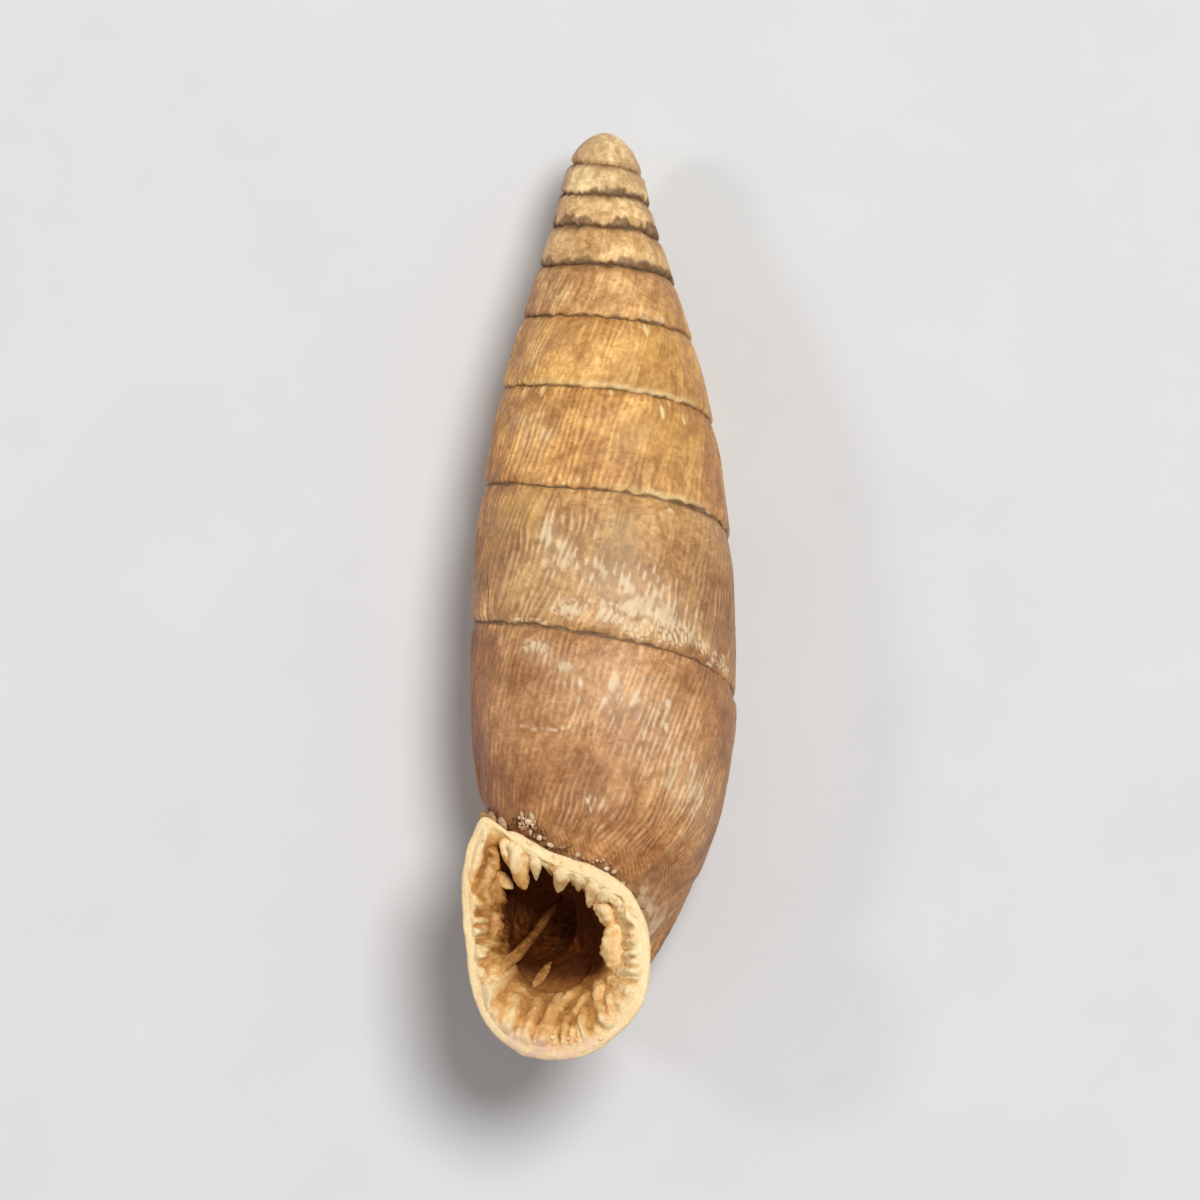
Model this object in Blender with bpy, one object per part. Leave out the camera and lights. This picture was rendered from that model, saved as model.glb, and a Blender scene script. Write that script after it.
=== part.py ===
"""Door snail shell: a left-handed, spindle-shaped land snail shell, lying on its back.

The shell is worked out standing up, in millimetres: the coiling axis is Z, the apex is at
the top, depth is the distance below the apex, and the mouth faces -Y. It is laid down at
the end, apex along +Y and mouth up. It is one solid: the space in the mouth is cleared from
the coiled body, the neck with its folded lip is joined on, the spiral hollow is cut out
and the lamellae of the throat are joined on.

A turn counts whorls of the suture, the seam between the whorls. Whole turns are on the
left, at -X, and turn 9 is where the suture ends at the mouth.
"""

import math

import bmesh
import bpy
import numpy as np

MM = 0.001

# --- Coil -----------------------------------------------------------------------------------
LAST_TURN = 9.0  # where the suture ends
PITCH_FIRST = 0.52  # drop of the suture in one whorl at the apex, mm
PITCH_GROWTH = 0.00069  # and how the drop grows down the spire
PITCH_POWER = 4.2
LEAN = 0.04  # the whorls sit a little lower on the left

# --- Body: (depth, radius) of the spindle that the whorls fill, mm --------------------------
SPINDLE = (
    (0.0, 0.0), (0.28, 0.50), (0.56, 0.64), (1.7, 0.95), (2.9, 1.35), (4.6, 1.84),
    (6.3, 2.15), (8.1, 2.32), (9.5, 2.35), (10.9, 2.28), (11.8, 2.13), (12.9, 1.76),
    (13.9, 1.12), (14.45, 0.64), (14.85, 0.0),
)
BASE_DEPTH = SPINDLE[-1][0]
INSET_FIRST = 0.10  # how far the wall dips in at the suture on the first whorls, mm
INSET_LAST = 0.055  # and on the last one
SHOULDER_SHARE = 0.24  # share of a whorl's height taken by the shoulder below its suture
HEM_SHARE = 0.07  # and by the short inward turn above the next suture
TUCK = 0.30  # the body narrows this much where the neck covers it, mm
TUCK_SHARE = 0.5  # and by no more than this share of its radius
TUCK_TURNS = 0.06  # over this much of a turn
TUCK_DROP = 0.25  # and over this depth below the suture, mm

# --- Neck: the free end of the last whorl ---------------------------------------------------
NECK_START = 8.34  # sunk in the body
NECK_OUT = 8.50  # from here the neck is the outermost wall
NECK_SINK = 0.16  # how deep its start is sunk, mm
NECK_OWN_SHAPE = 0.45  # turns from there to where it has wholly left the body's outline
# (turn, widest radius, depth there, radius of the base, depth of the base, fullness)
NECK_SECTIONS = (
    (8.50, 2.350, 10.3, 0.10, 14.87, 1.48),
    (8.75, 2.290, 11.8, 0.70, 15.22, 1.80),
    (9.00, 2.180, 13.0, 0.95, 15.66, 2.10),
)
NECK_INNER = 0.06  # radius of its hidden inner side, mm
ROOF_SHARE = 0.90  # its upper corner, at the suture, as a share of its radius
SHOULDER_FULLNESS = 2.8  # how square the shoulder below that is

# --- Mouth ----------------------------------------------------------------------------------
MOUTH_CENTRE = (-0.80, -1.92, -14.47)
MOUTH_TURNED = math.radians(8)  # the left lip stands further back than the right one
CORNER_ANGLE = 118  # where the upper corner of the mouth points, degrees from the right
# (angle in degrees from the right, radius in mm) of the lip's outer edge
LIP_EDGE = (
    (0, 1.63), (30, 1.60), (60, 1.53), (80, 1.55), (92, 1.63), (106, 1.93), (112, 2.17),
    (118, 2.58), (128, 2.44), (140, 2.16), (158, 1.80), (180, 1.61), (203, 1.66), (225, 1.83),
    (250, 1.99), (270, 2.03), (288, 2.00), (303, 1.91), (318, 1.87), (332, 1.79), (346, 1.69),
    (360, 1.63),
)
NECK_END = -0.32  # the neck ends this far behind the lip, mm
FLARE = 0.10  # how far the lip stands out from the neck there, mm
FLARE_MORE = 0.12  # and from the neck further back, mm
# rings of the lip from behind its edge into the funnel:
# (share of the way in to the throat, further in in mm, forward in mm, fold, tooth)
LIP_RINGS = (
    (0.00, 0.05, -0.17, 0.0, 0.0),
    (0.00, 0.00, -0.05, 0.1, 0.0),
    (0.00, 0.07, 0.07, 0.2, 0.0),
    (0.00, 0.21, 0.07, 0.6, 0.0),
    (0.38, 0.10, -0.16, 1.0, 0.3),
    (0.74, 0.03, -0.60, 1.0, 0.9),
    (1.00, 0.00, -1.05, 0.7, 1.0),
)
# rings of the space in the mouth, cleared of the body, within the neck's own wall
CLEARED_RINGS = (
    (1.00, -0.08, -1.15),
    (0.74, -0.07, -0.60),
    (0.38, 0.02, -0.16),
    (0.00, 0.12, 0.00),
    (0.00, 0.12, 0.40),
)
# (angle in degrees, radius in mm) of the throat
THROAT = (
    (0, 0.64), (45, 0.86), (90, 1.14), (118, 1.50), (127, 1.54), (140, 1.34), (160, 1.12),
    (180, 1.00), (225, 0.86), (270, 0.66), (315, 0.60), (360, 0.64),
)
FOLDS = 34
COLUMNS_PER_FOLD = 4
FOLD_HEIGHT = 0.055
TOOTH_ANGLES = (44, 60, 75, 90, 105)  # the larger teeth along the upper edge
TOOTH_HEIGHT = 0.20
TOOTH_WIDTH = 4.2  # degrees
RAISED_FORWARD = 0.8  # folds and teeth stand this much forward for each bit inward

# --- Hollow: (turn, centre radius, centre depth, half width, half height), mm ---------------
HOLLOW = (
    (6.60, 1.15, 6.25, 0.66, 0.40), (7.20, 1.20, 7.80, 0.70, 0.60),
    (7.80, 1.20, 9.55, 0.72, 0.85), (8.30, 1.14, 11.15, 0.70, 1.05),
    (8.70, 1.10, 12.55, 0.70, 1.08), (9.00, 1.03, 13.62, 0.74, 0.90),
)
HOLLOW_MOUTH = (-1.45, -0.98)  # its last rings, in mm forward of the lip
HOLLOW_SHARE = 0.90  # their radius, as a share of the throat's

# --- Lamellae of the throat: (name, points in mm, half thickness in mm) ---------------------
LAMELLAE = (
    ("lamella_long", ((-0.20, -0.75, -12.75), (-0.95, -0.15, -13.55), (-1.75, 0.10, -14.50)), 0.07),
    ("lamella_short", ((-0.70, -0.30, -14.20), (-1.05, -0.25, -14.70), (-1.20, -0.30, -15.20)), 0.06),
)

# --- Lying on its back ----------------------------------------------------------------------
PITCHED = math.radians(2.5)  # the apex is lowered by this
GROUND = 1.81  # distance from the axis, at the apex, of the flat it rests on, mm
GROUND_SIZE = 36.0  # of the block that cuts the flat, mm

# --- How finely it is divided ---------------------------------------------------------------
COLUMNS_PER_TURN = 30
WHORL_ROWS = (0.0, 0.07, 0.22, 0.48, 0.76, 0.93, 1.0)
COIL_RINGS = 21  # of the neck, from its start to the last turn
MOUTH_RINGS = 6  # from there to the lip
HOLLOW_RINGS = 44
HOLLOW_POINTS = 16
WELD = 1e-6  # m
SMOOTH_BELOW = math.radians(50)


def smooth_curve(points, at):
    """A smooth curve through points of (x, y), read at the values in at."""
    x, y = np.array(points, float).T
    slope = np.gradient(y, x)
    at = np.clip(at, x[0], x[-1])
    i = np.clip(np.searchsorted(x, at, side="right") - 1, 0, len(x) - 2)
    step = x[i + 1] - x[i]
    u = (at - x[i]) / step
    return (
        y[i] * (1 + 2 * u) * (1 - u) ** 2
        + y[i + 1] * u * u * (3 - 2 * u)
        + slope[i] * step * u * (1 - u) ** 2
        - slope[i + 1] * step * u * u * (1 - u)
    )


def smooth_table(rows, at):
    """The columns after the first of a table, each read as a smooth curve of the first."""
    return [smooth_curve([(row[0], row[k]) for row in rows], at) for k in range(1, len(rows[0]))]


def ease(x):
    """0 below 0, 1 above 1 and smooth in between."""
    x = np.clip(x, 0, 1)
    return x * x * (3 - 2 * x)


def suture_depth(turn):
    """Depth of the suture. Past its end, a line that winds down to the base in one turn."""
    wound = np.clip(turn, 0, LAST_TURN)
    coil = PITCH_FIRST * wound + PITCH_GROWTH * wound**PITCH_POWER
    past = np.clip(turn - LAST_TURN, 0, 1)
    return coil + (BASE_DEPTH - coil) * past


def spindle(depth):
    """Radius of the spindle at a depth. Its square is interpolated, so both ends are round."""
    squares = [(d, r * r) for d, r in SPINDLE]
    return np.sqrt(np.maximum(smooth_curve(squares, depth), 0))


def place(turn, radius, depth):
    """Points from turn, radius and depth, as an array of (x, y, z)."""
    angle = math.pi + 2 * math.pi * (turn - LAST_TURN)
    x = radius * np.cos(angle)
    y = radius * np.sin(angle)
    return np.stack([x, y, LEAN * x - depth], axis=-1)


def grid_object(name, columns, rows, shape, group):
    """A closed mesh from a sheet of columns by rows, shaped by a function of two 0-1 arrays.

    Its edges are welded where they meet, and its open ends are filled.
    """
    sheet = bmesh.new()
    bmesh.ops.create_grid(sheet, x_segments=columns, y_segments=rows, size=0.5)
    flat = np.array([vertex.co for vertex in sheet.verts], float) + 0.5
    across = np.round(flat[:, 0] * columns) / columns
    along = np.round(flat[:, 1] * rows) / rows
    for vertex, point in zip(sheet.verts, shape(across, along) * MM):
        vertex.co = point
    bmesh.ops.remove_doubles(sheet, verts=sheet.verts, dist=WELD)
    bmesh.ops.dissolve_degenerate(sheet, dist=WELD, edges=sheet.edges)
    rims = [edge for edge in sheet.edges if edge.is_boundary]
    bmesh.ops.holes_fill(sheet, edges=rims)
    bmesh.ops.triangulate(sheet, faces=[face for face in sheet.faces if len(face.verts) > 4])
    bmesh.ops.recalc_face_normals(sheet, faces=sheet.faces)
    mesh = bpy.data.meshes.new(name)
    sheet.to_mesh(mesh)
    sheet.free()
    made = bpy.data.objects.new(name, mesh)
    group.objects.link(made)
    return made


# --- Body -----------------------------------------------------------------------------------
def suture_inset(turn):
    """How deep the suture is cut at a turn. It fades in at the apex and out past its end."""
    inset = INSET_FIRST + (INSET_LAST - INSET_FIRST) * np.clip(turn, 0, LAST_TURN) / LAST_TURN
    return inset * ease(turn) * (1 - ease((turn - LAST_TURN) / 0.1))


def tuck(turn, depth):
    """How fully the body draws in where the neck lies over it, from 0 to 1."""
    part = turn % 1
    behind = ease((part - 0.5) / TUCK_TURNS)
    after = np.where(turn >= LAST_TURN, 1 - ease(part / TUCK_TURNS), 0)
    covered = np.where(part >= 0.5, behind, after)
    seam = suture_depth(np.where(part >= 0.5, LAST_TURN - 1 + part, LAST_TURN))
    return np.where(turn >= NECK_OUT, covered * ease((depth - seam) / TUCK_DROP), 0)


def body_shape(across, along):
    """Across runs down the coil, and along runs from one suture to the next."""
    turn = -1 + across * (LAST_TURN + 2)
    share = np.interp(along, np.linspace(0, 1, len(WHORL_ROWS)), WHORL_ROWS)
    top = suture_depth(turn)
    depth = top + (suture_depth(turn + 1) - top) * share
    inset = suture_inset(turn) * (1 - ease(share / SHOULDER_SHARE))
    inset += suture_inset(turn + 1) * ease((share - 1 + HEM_SHARE) / HEM_SHARE)
    radius = spindle(depth)
    drawn_in = np.minimum(TUCK, TUCK_SHARE * radius) * tuck(turn, depth)
    return place(turn, radius - np.minimum(inset, radius / 2) - drawn_in, depth)


# --- Neck and mouth -------------------------------------------------------------------------
def body_outline(turn, depth):
    """Radius of the coiled body at a depth below the suture of a turn."""
    top = suture_depth(turn)
    share = (depth - top) / (BASE_DEPTH - top)
    return spindle(depth) - suture_inset(turn) * (1 - ease(share / SHOULDER_SHARE))


def neck_section(turn, quarter):
    """(radius, depth) round the neck: quarter 0 is at the suture, 1 outside, 2 at the base."""
    wide, wide_depth, base_radius, base_depth, fullness = smooth_table(NECK_SECTIONS, turn)
    sunk = NECK_SINK * np.clip((NECK_OUT - turn) / (NECK_OUT - NECK_START), 0, 1)
    wide = wide - sunk
    base_depth = base_depth - sunk
    top = suture_depth(turn) + sunk
    roof = ROOF_SHARE * wide
    swing = (quarter % 1) * math.pi / 2
    s = np.maximum(np.sin(swing), 0)
    c = np.maximum(np.cos(swing), 0)
    square = 2 / SHOULDER_FULLNESS
    full = 2 / fullness
    up = wide_depth - top
    down = base_depth - wide_depth
    step = np.floor(quarter) % 4
    choose = [step == 0, step == 1, step == 2, step == 3]
    radius = np.select(choose, [
        roof + (wide - roof) * s**square,
        base_radius + (wide - base_radius) * c**full,
        base_radius - (base_radius - NECK_INNER) * s,
        roof - (roof - NECK_INNER) * c,
    ])
    depth = np.select(choose, [
        wide_depth - up * c**square,
        wide_depth + down * s**full,
        wide_depth + down * c,
        wide_depth - up * s,
    ])
    coiled = np.maximum(body_outline(turn, depth) - sunk, radius)
    like_body = (1 - ease((turn - NECK_OUT) / NECK_OWN_SHAPE)) * (step < 2)
    return radius + (coiled - radius) * like_body, depth


def mouth_frame():
    """The mouth's right, up and forward directions."""
    right = np.array([math.cos(MOUTH_TURNED), -math.sin(MOUTH_TURNED), 0])
    up = np.array([0, 0, 1])
    return right, up, np.cross(right, up)


def mouth_place(angle, radius, forward):
    """Points from an angle in degrees from the right, a radius and a distance forward, mm."""
    right, up, out = mouth_frame()
    angle = np.radians(angle)
    return (
        np.array(MOUTH_CENTRE)
        + np.multiply.outer(radius * np.cos(angle), right)
        + np.multiply.outer(radius * np.sin(angle), up)
        + np.multiply.outer(forward, out)
    )


def lip_radius(angle):
    return smooth_curve(LIP_EDGE, angle % 360)


def throat_radius(angle):
    return smooth_curve(THROAT, angle % 360)


def teeth(angle):
    """Where the larger teeth of the upper edge stand, 1 at the middle of each."""
    return sum(np.exp(-(((angle % 360 - at) / TOOTH_WIDTH) ** 2)) for at in TOOTH_ANGLES)


def neck_rings(across, ring):
    """The neck from its hidden start to just behind the lip."""
    quarter = 4 * (across % 1)
    turn = NECK_START + (LAST_TURN - NECK_START) * np.clip(ring / COIL_RINGS, 0, 1)
    radius, depth = neck_section(turn, quarter)
    start = place(turn, radius, depth)
    reach = np.clip((ring - COIL_RINGS) / MOUTH_RINGS, 0, 1)
    inside = FLARE + FLARE_MORE * (1 - ease((reach - 0.5) / 0.5))
    angle = mouth_angle(across)
    end = mouth_place(angle, lip_radius(angle) - inside, NECK_END + 0 * reach)
    spread = 1 - (1 - reach**2) ** 2
    path = np.stack([spread, reach, spread], axis=-1)
    return start * (1 - path) + end * path


def lip_rings(across, ring):
    """The lip's rounded edge and the folded funnel inside it."""
    angle = mouth_angle(across)
    edge = lip_radius(angle)
    share, inward, forward, folded, toothed = np.array(LIP_RINGS)[ring].T
    crest = np.cos(2 * math.pi * FOLDS * across)
    raised = FOLD_HEIGHT * crest * folded + TOOTH_HEIGHT * teeth(angle) * toothed
    radius = edge - inward - (edge - throat_radius(angle)) * share
    tilt = np.where(share < 1, RAISED_FORWARD, 0)
    return mouth_place(angle, radius - raised, forward + raised * tilt)


def mouth_angle(across):
    """Direction of a column round the mouth, in degrees from the right."""
    turned = (CORNER_ANGLE, 180, 270, 360, 360 + CORNER_ANGLE)
    return np.interp(across % 1, np.linspace(0, 1, len(turned)), turned)


def neck_shape(across, along):
    """Across runs round the neck, and along from its hidden start over the lip to the throat.

    The neck has one column for each fold, and the lip has several.
    """
    last = COIL_RINGS + MOUTH_RINGS
    ring = np.round(along * (last + len(LIP_RINGS))).astype(int)
    coarse = np.floor(across * FOLDS + 1e-6) / FOLDS
    neck = neck_rings(coarse, np.minimum(ring, last))
    lip = lip_rings(across, np.clip(ring - last - 1, 0, None))
    return np.where((ring > last)[:, None], lip, neck)


def cleared_shape(across, along):
    """The space in the mouth. Across runs round it, and along from the throat out."""
    angle = mouth_angle(across)
    ring = np.round(along * (len(CLEARED_RINGS) - 1)).astype(int)
    share, inward, forward = np.array(CLEARED_RINGS)[ring].T
    edge = lip_radius(angle)
    return mouth_place(angle, edge - inward - (edge - throat_radius(angle)) * share, forward)


def hollow_shape(across, along):
    """Across runs round the hollow, and along from its end in the coil out to the throat."""
    angle = 360 * (across % 1)
    ring = np.round(along * (HOLLOW_RINGS + len(HOLLOW_MOUTH))).astype(int)
    first, last = HOLLOW[0][0], HOLLOW[-1][0]
    turn = first + (last - first) * np.clip(ring / HOLLOW_RINGS, 0, 1)
    centre, depth, wide, high = smooth_table(HOLLOW, turn)
    swing = np.radians(angle)
    start = place(turn, centre - wide * np.cos(swing), depth - high * np.sin(swing))
    forward = np.array(HOLLOW_MOUTH)[np.clip(ring - HOLLOW_RINGS - 1, 0, None)]
    end = mouth_place(angle, HOLLOW_SHARE * throat_radius(angle), forward)
    return np.where((ring > HOLLOW_RINGS)[:, None], end, start)


def lamella(name, points, thickness, group):
    """A ridge across the throat, as a tube along a smooth curve through points in mm."""
    curve = bpy.data.curves.new(name, "CURVE")
    curve.dimensions = "3D"
    curve.resolution_u = 4
    curve.bevel_depth = thickness * MM
    curve.bevel_resolution = 1
    curve.use_fill_caps = True
    spline = curve.splines.new("BEZIER")
    spline.bezier_points.add(len(points) - 1)
    for knot, point in zip(spline.bezier_points, points):
        knot.co = np.array(point) * MM
        knot.handle_left_type = "AUTO"
        knot.handle_right_type = "AUTO"
    drawn = bpy.data.objects.new(name + "_curve", curve)
    group.objects.link(drawn)
    bpy.context.view_layer.update()
    graph = bpy.context.evaluated_depsgraph_get()
    mesh = bpy.data.meshes.new_from_object(drawn.evaluated_get(graph))
    bpy.data.objects.remove(drawn)
    welded = bmesh.new()
    welded.from_mesh(mesh)
    bmesh.ops.remove_doubles(welded, verts=welded.verts, dist=WELD)
    bmesh.ops.recalc_face_normals(welded, faces=welded.faces)
    welded.to_mesh(mesh)
    welded.free()
    made = bpy.data.objects.new(name, mesh)
    group.objects.link(made)
    return made


def ground_block(group):
    """A block whose face is the plane that the shell rests on, square to down."""
    block = bmesh.new()
    bmesh.ops.create_cube(block, size=GROUND_SIZE * MM)
    mesh = bpy.data.meshes.new("ground")
    block.to_mesh(mesh)
    block.free()
    made = bpy.data.objects.new("ground", mesh)
    down = np.array([0, math.cos(PITCHED), math.sin(PITCHED)])
    made.location = down * (GROUND + GROUND_SIZE / 2) * MM
    made.rotation_euler = (PITCHED, 0, 0)
    group.objects.link(made)
    return made


# --- Assembly -------------------------------------------------------------------------------
def collection(name):
    made = bpy.data.collections.new(name)
    bpy.context.scene.collection.children.link(made)
    return made


def combine(target, other, operation):
    """Joins another object to the target, or cuts it away, and marks it as a helper."""
    boolean = target.modifiers.new(other.name, "BOOLEAN")
    boolean.object = other
    boolean.operation = operation
    other.hide_render = True
    other.display_type = "WIRE"


def shell_material():
    material = bpy.data.materials.new("shell_brown")
    material.use_nodes = True
    surface = material.node_tree.nodes["Principled BSDF"]
    surface.inputs["Base Color"].default_value = (0.42, 0.23, 0.12, 1)
    surface.inputs["Roughness"].default_value = 0.45
    surface.inputs["Metallic"].default_value = 0.0
    return material


def lay_down(pieces, solid):
    """Lays the pieces on the shell's back, its box centred on the origin and resting on Z 0."""
    rest = bpy.data.objects.new("rest", None)
    solid.users_collection[0].objects.link(rest)
    rest.rotation_mode = "XYZ"
    rest.rotation_euler = (-math.pi / 2 - PITCHED, 0, 0)
    for piece in pieces:
        piece.parent = rest
    bpy.context.view_layer.update()
    evaluated = solid.evaluated_get(bpy.context.evaluated_depsgraph_get())
    world = np.array(evaluated.matrix_world)
    mesh = evaluated.to_mesh()
    points = np.array([vertex.co for vertex in mesh.vertices]) @ world[:3, :3].T + world[:3, 3]
    evaluated.to_mesh_clear()
    low, high = points.min(axis=0), points.max(axis=0)
    rest.location = (-(low[0] + high[0]) / 2, -(low[1] + high[1]) / 2, -low[2])


def main():
    for thing in list(bpy.data.objects):
        bpy.data.objects.remove(thing)
    shell_group = collection("door_snail_shell")
    helpers = collection("helpers")
    coil_columns = COLUMNS_PER_TURN * int(LAST_TURN + 2)
    neck_rows = COIL_RINGS + MOUTH_RINGS + len(LIP_RINGS)
    neck_columns = COLUMNS_PER_FOLD * FOLDS
    hollow_rows = HOLLOW_RINGS + len(HOLLOW_MOUTH)
    shell = grid_object("shell", coil_columns, len(WHORL_ROWS) - 1, body_shape, shell_group)
    neck = grid_object("neck", neck_columns, neck_rows, neck_shape, helpers)
    cleared = grid_object("cleared", FOLDS, len(CLEARED_RINGS) - 1, cleared_shape, helpers)
    hollow = grid_object("hollow", HOLLOW_POINTS, hollow_rows, hollow_shape, helpers)
    combine(shell, cleared, "DIFFERENCE")
    combine(shell, neck, "UNION")
    combine(shell, hollow, "DIFFERENCE")
    ground = ground_block(helpers)
    combine(shell, ground, "DIFFERENCE")
    pieces = [shell, cleared, neck, hollow, ground]
    for name, points, thickness in LAMELLAE:
        ridge = lamella(name, points, thickness, helpers)
        combine(shell, ridge, "UNION")
        pieces.append(ridge)
    shell.data.materials.append(shell_material())
    shell.data.shade_smooth()
    shell.data.set_sharp_from_angle(angle=SMOOTH_BELOW)
    lay_down(pieces, shell)


main()
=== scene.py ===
"""Door snail shell, dressed: ribbed whorls, folded lip, throat, dirt, floor, light and camera.

The shell is worked out standing up, in millimetres, as the solid is: the coiling axis is Z,
the apex is at the top, depth is the distance below the apex, and the mouth faces -Y. A turn
counts whorls of the suture, the seam between the whorls: whole turns are on the left, at
-X, and turn 9 is where the suture ends at the mouth. The pieces are then laid on the
shell's back, apex along +Y.
"""

import math
import random

import bmesh
import bpy
import numpy as np
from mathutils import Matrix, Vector
from mathutils.bvhtree import BVHTree


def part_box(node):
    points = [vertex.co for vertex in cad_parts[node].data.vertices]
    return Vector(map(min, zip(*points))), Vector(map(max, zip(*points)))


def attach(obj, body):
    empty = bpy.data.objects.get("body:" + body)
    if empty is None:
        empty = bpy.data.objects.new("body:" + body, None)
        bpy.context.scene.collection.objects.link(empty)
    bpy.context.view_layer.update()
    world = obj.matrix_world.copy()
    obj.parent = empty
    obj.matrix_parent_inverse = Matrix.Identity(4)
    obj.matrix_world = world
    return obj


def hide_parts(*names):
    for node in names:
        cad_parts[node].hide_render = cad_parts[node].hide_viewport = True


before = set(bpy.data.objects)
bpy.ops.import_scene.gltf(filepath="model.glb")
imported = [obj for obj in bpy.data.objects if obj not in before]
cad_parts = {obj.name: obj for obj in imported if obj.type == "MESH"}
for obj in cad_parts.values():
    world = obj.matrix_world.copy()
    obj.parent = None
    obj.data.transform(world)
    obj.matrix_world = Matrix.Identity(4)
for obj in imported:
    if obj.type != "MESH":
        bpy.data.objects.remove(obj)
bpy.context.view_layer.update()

MM = 0.001
SEED = 11

# --- Coil and body: depth in mm against turn, and radius in mm against depth ---
LAST_TURN = 9.0
PITCH_FIRST = 0.52
PITCH_GROWTH = 0.00069
PITCH_POWER = 4.2
LEAN = 0.04
SPINDLE = (
    (0, 0), (0.28, 0.5), (0.56, 0.64), (1.7, 0.95), (2.9, 1.35), (4.6, 1.84), (6.3, 2.15),
    (8.1, 2.32), (9.5, 2.35), (10.9, 2.28), (11.8, 2.13), (12.9, 1.76), (13.9, 1.12),
    (14.45, 0.64), (14.85, 0),
)
BASE_DEPTH = SPINDLE[-1][0]
INSET_FIRST = 0.10
INSET_LAST = 0.055
SHOULDER_SHARE = 0.24
SUTURE_POWER = 2.2  # how sharply a whorl rounds in at its sutures
TUCK = 0.30
TUCK_SHARE = 0.5
TUCK_TURNS = 0.06
TUCK_DROP = 0.25
TUCKED = 0.995  # beyond this the neck hides the body
TUCK_END = 0.93  # turns past the suture's end

# --- Neck: sections as turn, width and its depth, radius and depth of the base, fullness ---
NECK_START = 8.34
NECK_OUT = 8.50
NECK_SINK = 0.16
NECK_OWN_SHAPE = 0.45
NECK_SECTIONS = (
    (8.5, 2.35, 10.3, 0.1, 14.87, 1.48), (8.75, 2.29, 11.8, 0.7, 15.22, 1.8),
    (9, 2.18, 13, 0.95, 15.66, 2.1),
)
NECK_INNER = 0.06  # radius of its inner side
NECK_BURIED = 0.4  # share of the neck's coil whose inner side lies within the shell
NECK_OUTSIDE = 0.52  # share of the way round that is outside
ROOF_SHARE = 0.90
SHOULDER_FULLNESS = 2.8

# --- Mouth: the lip's edge and the throat, as direction in degrees and radius in mm ---
MOUTH_CENTRE = (-0.80, -1.92, -14.47)
MOUTH_TURNED = math.radians(8)
MOUTH_TURNS = 0.14  # turns from the suture's end to the lip
CORNER_ANGLE = 118
LIP_EDGE = (
    (0, 1.63), (30, 1.6), (60, 1.53), (80, 1.55), (92, 1.63), (106, 1.93), (112, 2.17),
    (118, 2.58), (128, 2.44), (140, 2.16), (158, 1.8), (180, 1.61), (203, 1.66), (225, 1.83),
    (250, 1.99), (270, 2.03), (288, 2), (303, 1.91), (318, 1.87), (332, 1.79), (346, 1.69),
    (360, 1.63),
)
NECK_END = -0.32
FLARE = 0.10
FLARE_MORE = 0.12
THROAT = (
    (0, 0.64), (45, 0.86), (90, 1.14), (118, 1.5), (127, 1.54), (140, 1.34), (160, 1.12), (180, 1),
    (225, 0.86), (270, 0.66), (315, 0.6), (360, 0.64),
)
# rings from behind the lip's edge into the funnel, as on the solid: (share of the way in to
# the throat, further in in mm, forward in mm)
LIP_RINGS = (
    (0, 0.1, -0.32), (0, 0.05, -0.17), (0, 0, -0.07), (0, 0.06, 0.005), (0, 0.23, 0.01),
    (0.38, 0.1, -0.16), (0.74, 0.03, -0.6), (1, 0, -1.05),
)
# and those of the space in the mouth that holds no whorls
CLEARED_RINGS = (
    (1, -0.08, -1.15), (0.74, -0.07, -0.6), (0.38, 0.02, -0.16), (0, 0.12, 0), (0, 0.12, 0.4),
)
THROAT_SHARE = 0.90  # the hollow behind the throat, as a share of its radius
THROAT_BACK = -1.45  # and its first ring, mm forward of the lip
# how far the mouth's sheet stands in from the neck's wall, mm; toward which direction and
# over how many degrees; at which ring and over how many
DRAWN_IN = (0.24, 12, 55, 8.3, 1.3)
# the hollow's sections: (turn, radius of the centre, its depth, half width, half height)
HOLLOW = (
    (6.6, 1.15, 6.25, 0.66, 0.4), (7.2, 1.2, 7.8, 0.7, 0.6), (7.8, 1.2, 9.55, 0.72, 0.85),
    (8.3, 1.14, 11.15, 0.7, 1.05), (8.7, 1.1, 12.55, 0.7, 1.08), (9, 1.03, 13.62, 0.74, 0.9),
)
TUNNEL_START = 6.5  # ring from which the whorls are cut away round the hollow
TUNNEL_ROOM = 1.02  # how much wider the whorls and the neck are cut away round it
BASE_ROOM = 1.08  # and the base
TUNNEL_TURNS = (9.0, 8.85, 8.7, 8.5, 8.3, 8.1, 7.9, 7.7)

# --- Lying on its back ---
PITCHED = math.radians(2.5)
GROUND = 1.81
WIDEST_DEPTHS = (8, 11)  # mm; the body is widest between them
TIP = 2.0  # mm; the laid shell's far end lies within this depth
WELD = 4e-7  # m
RAY = Vector((0.31, 0.22, 0.925))  # off every plane of the shell
RAY_STEP = 1e-5

# --- Ribs: the growth lines that cross every whorl; sizes in mm ---
RIBS_FIRST = 60.0  # a whorl at the apex
RIBS_MORE = 3.35  # and how their number grows down the spire
RIB_LEAN = 0.36  # how far they lean, as a share of their drop
RIB_LEAN_LOW = 0.9  # and how much further near the base
LEAN_LOW_DEPTH = 12.0  # from this depth
RIB_SWAY = 2.4  # in ribs
RIB_JITTER = 1.1
RIB_HEIGHT = 0.024
RIB_SHARP = 1.3
RIB_LEAST = 0.3  # height of the weakest rib, as a share
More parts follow.
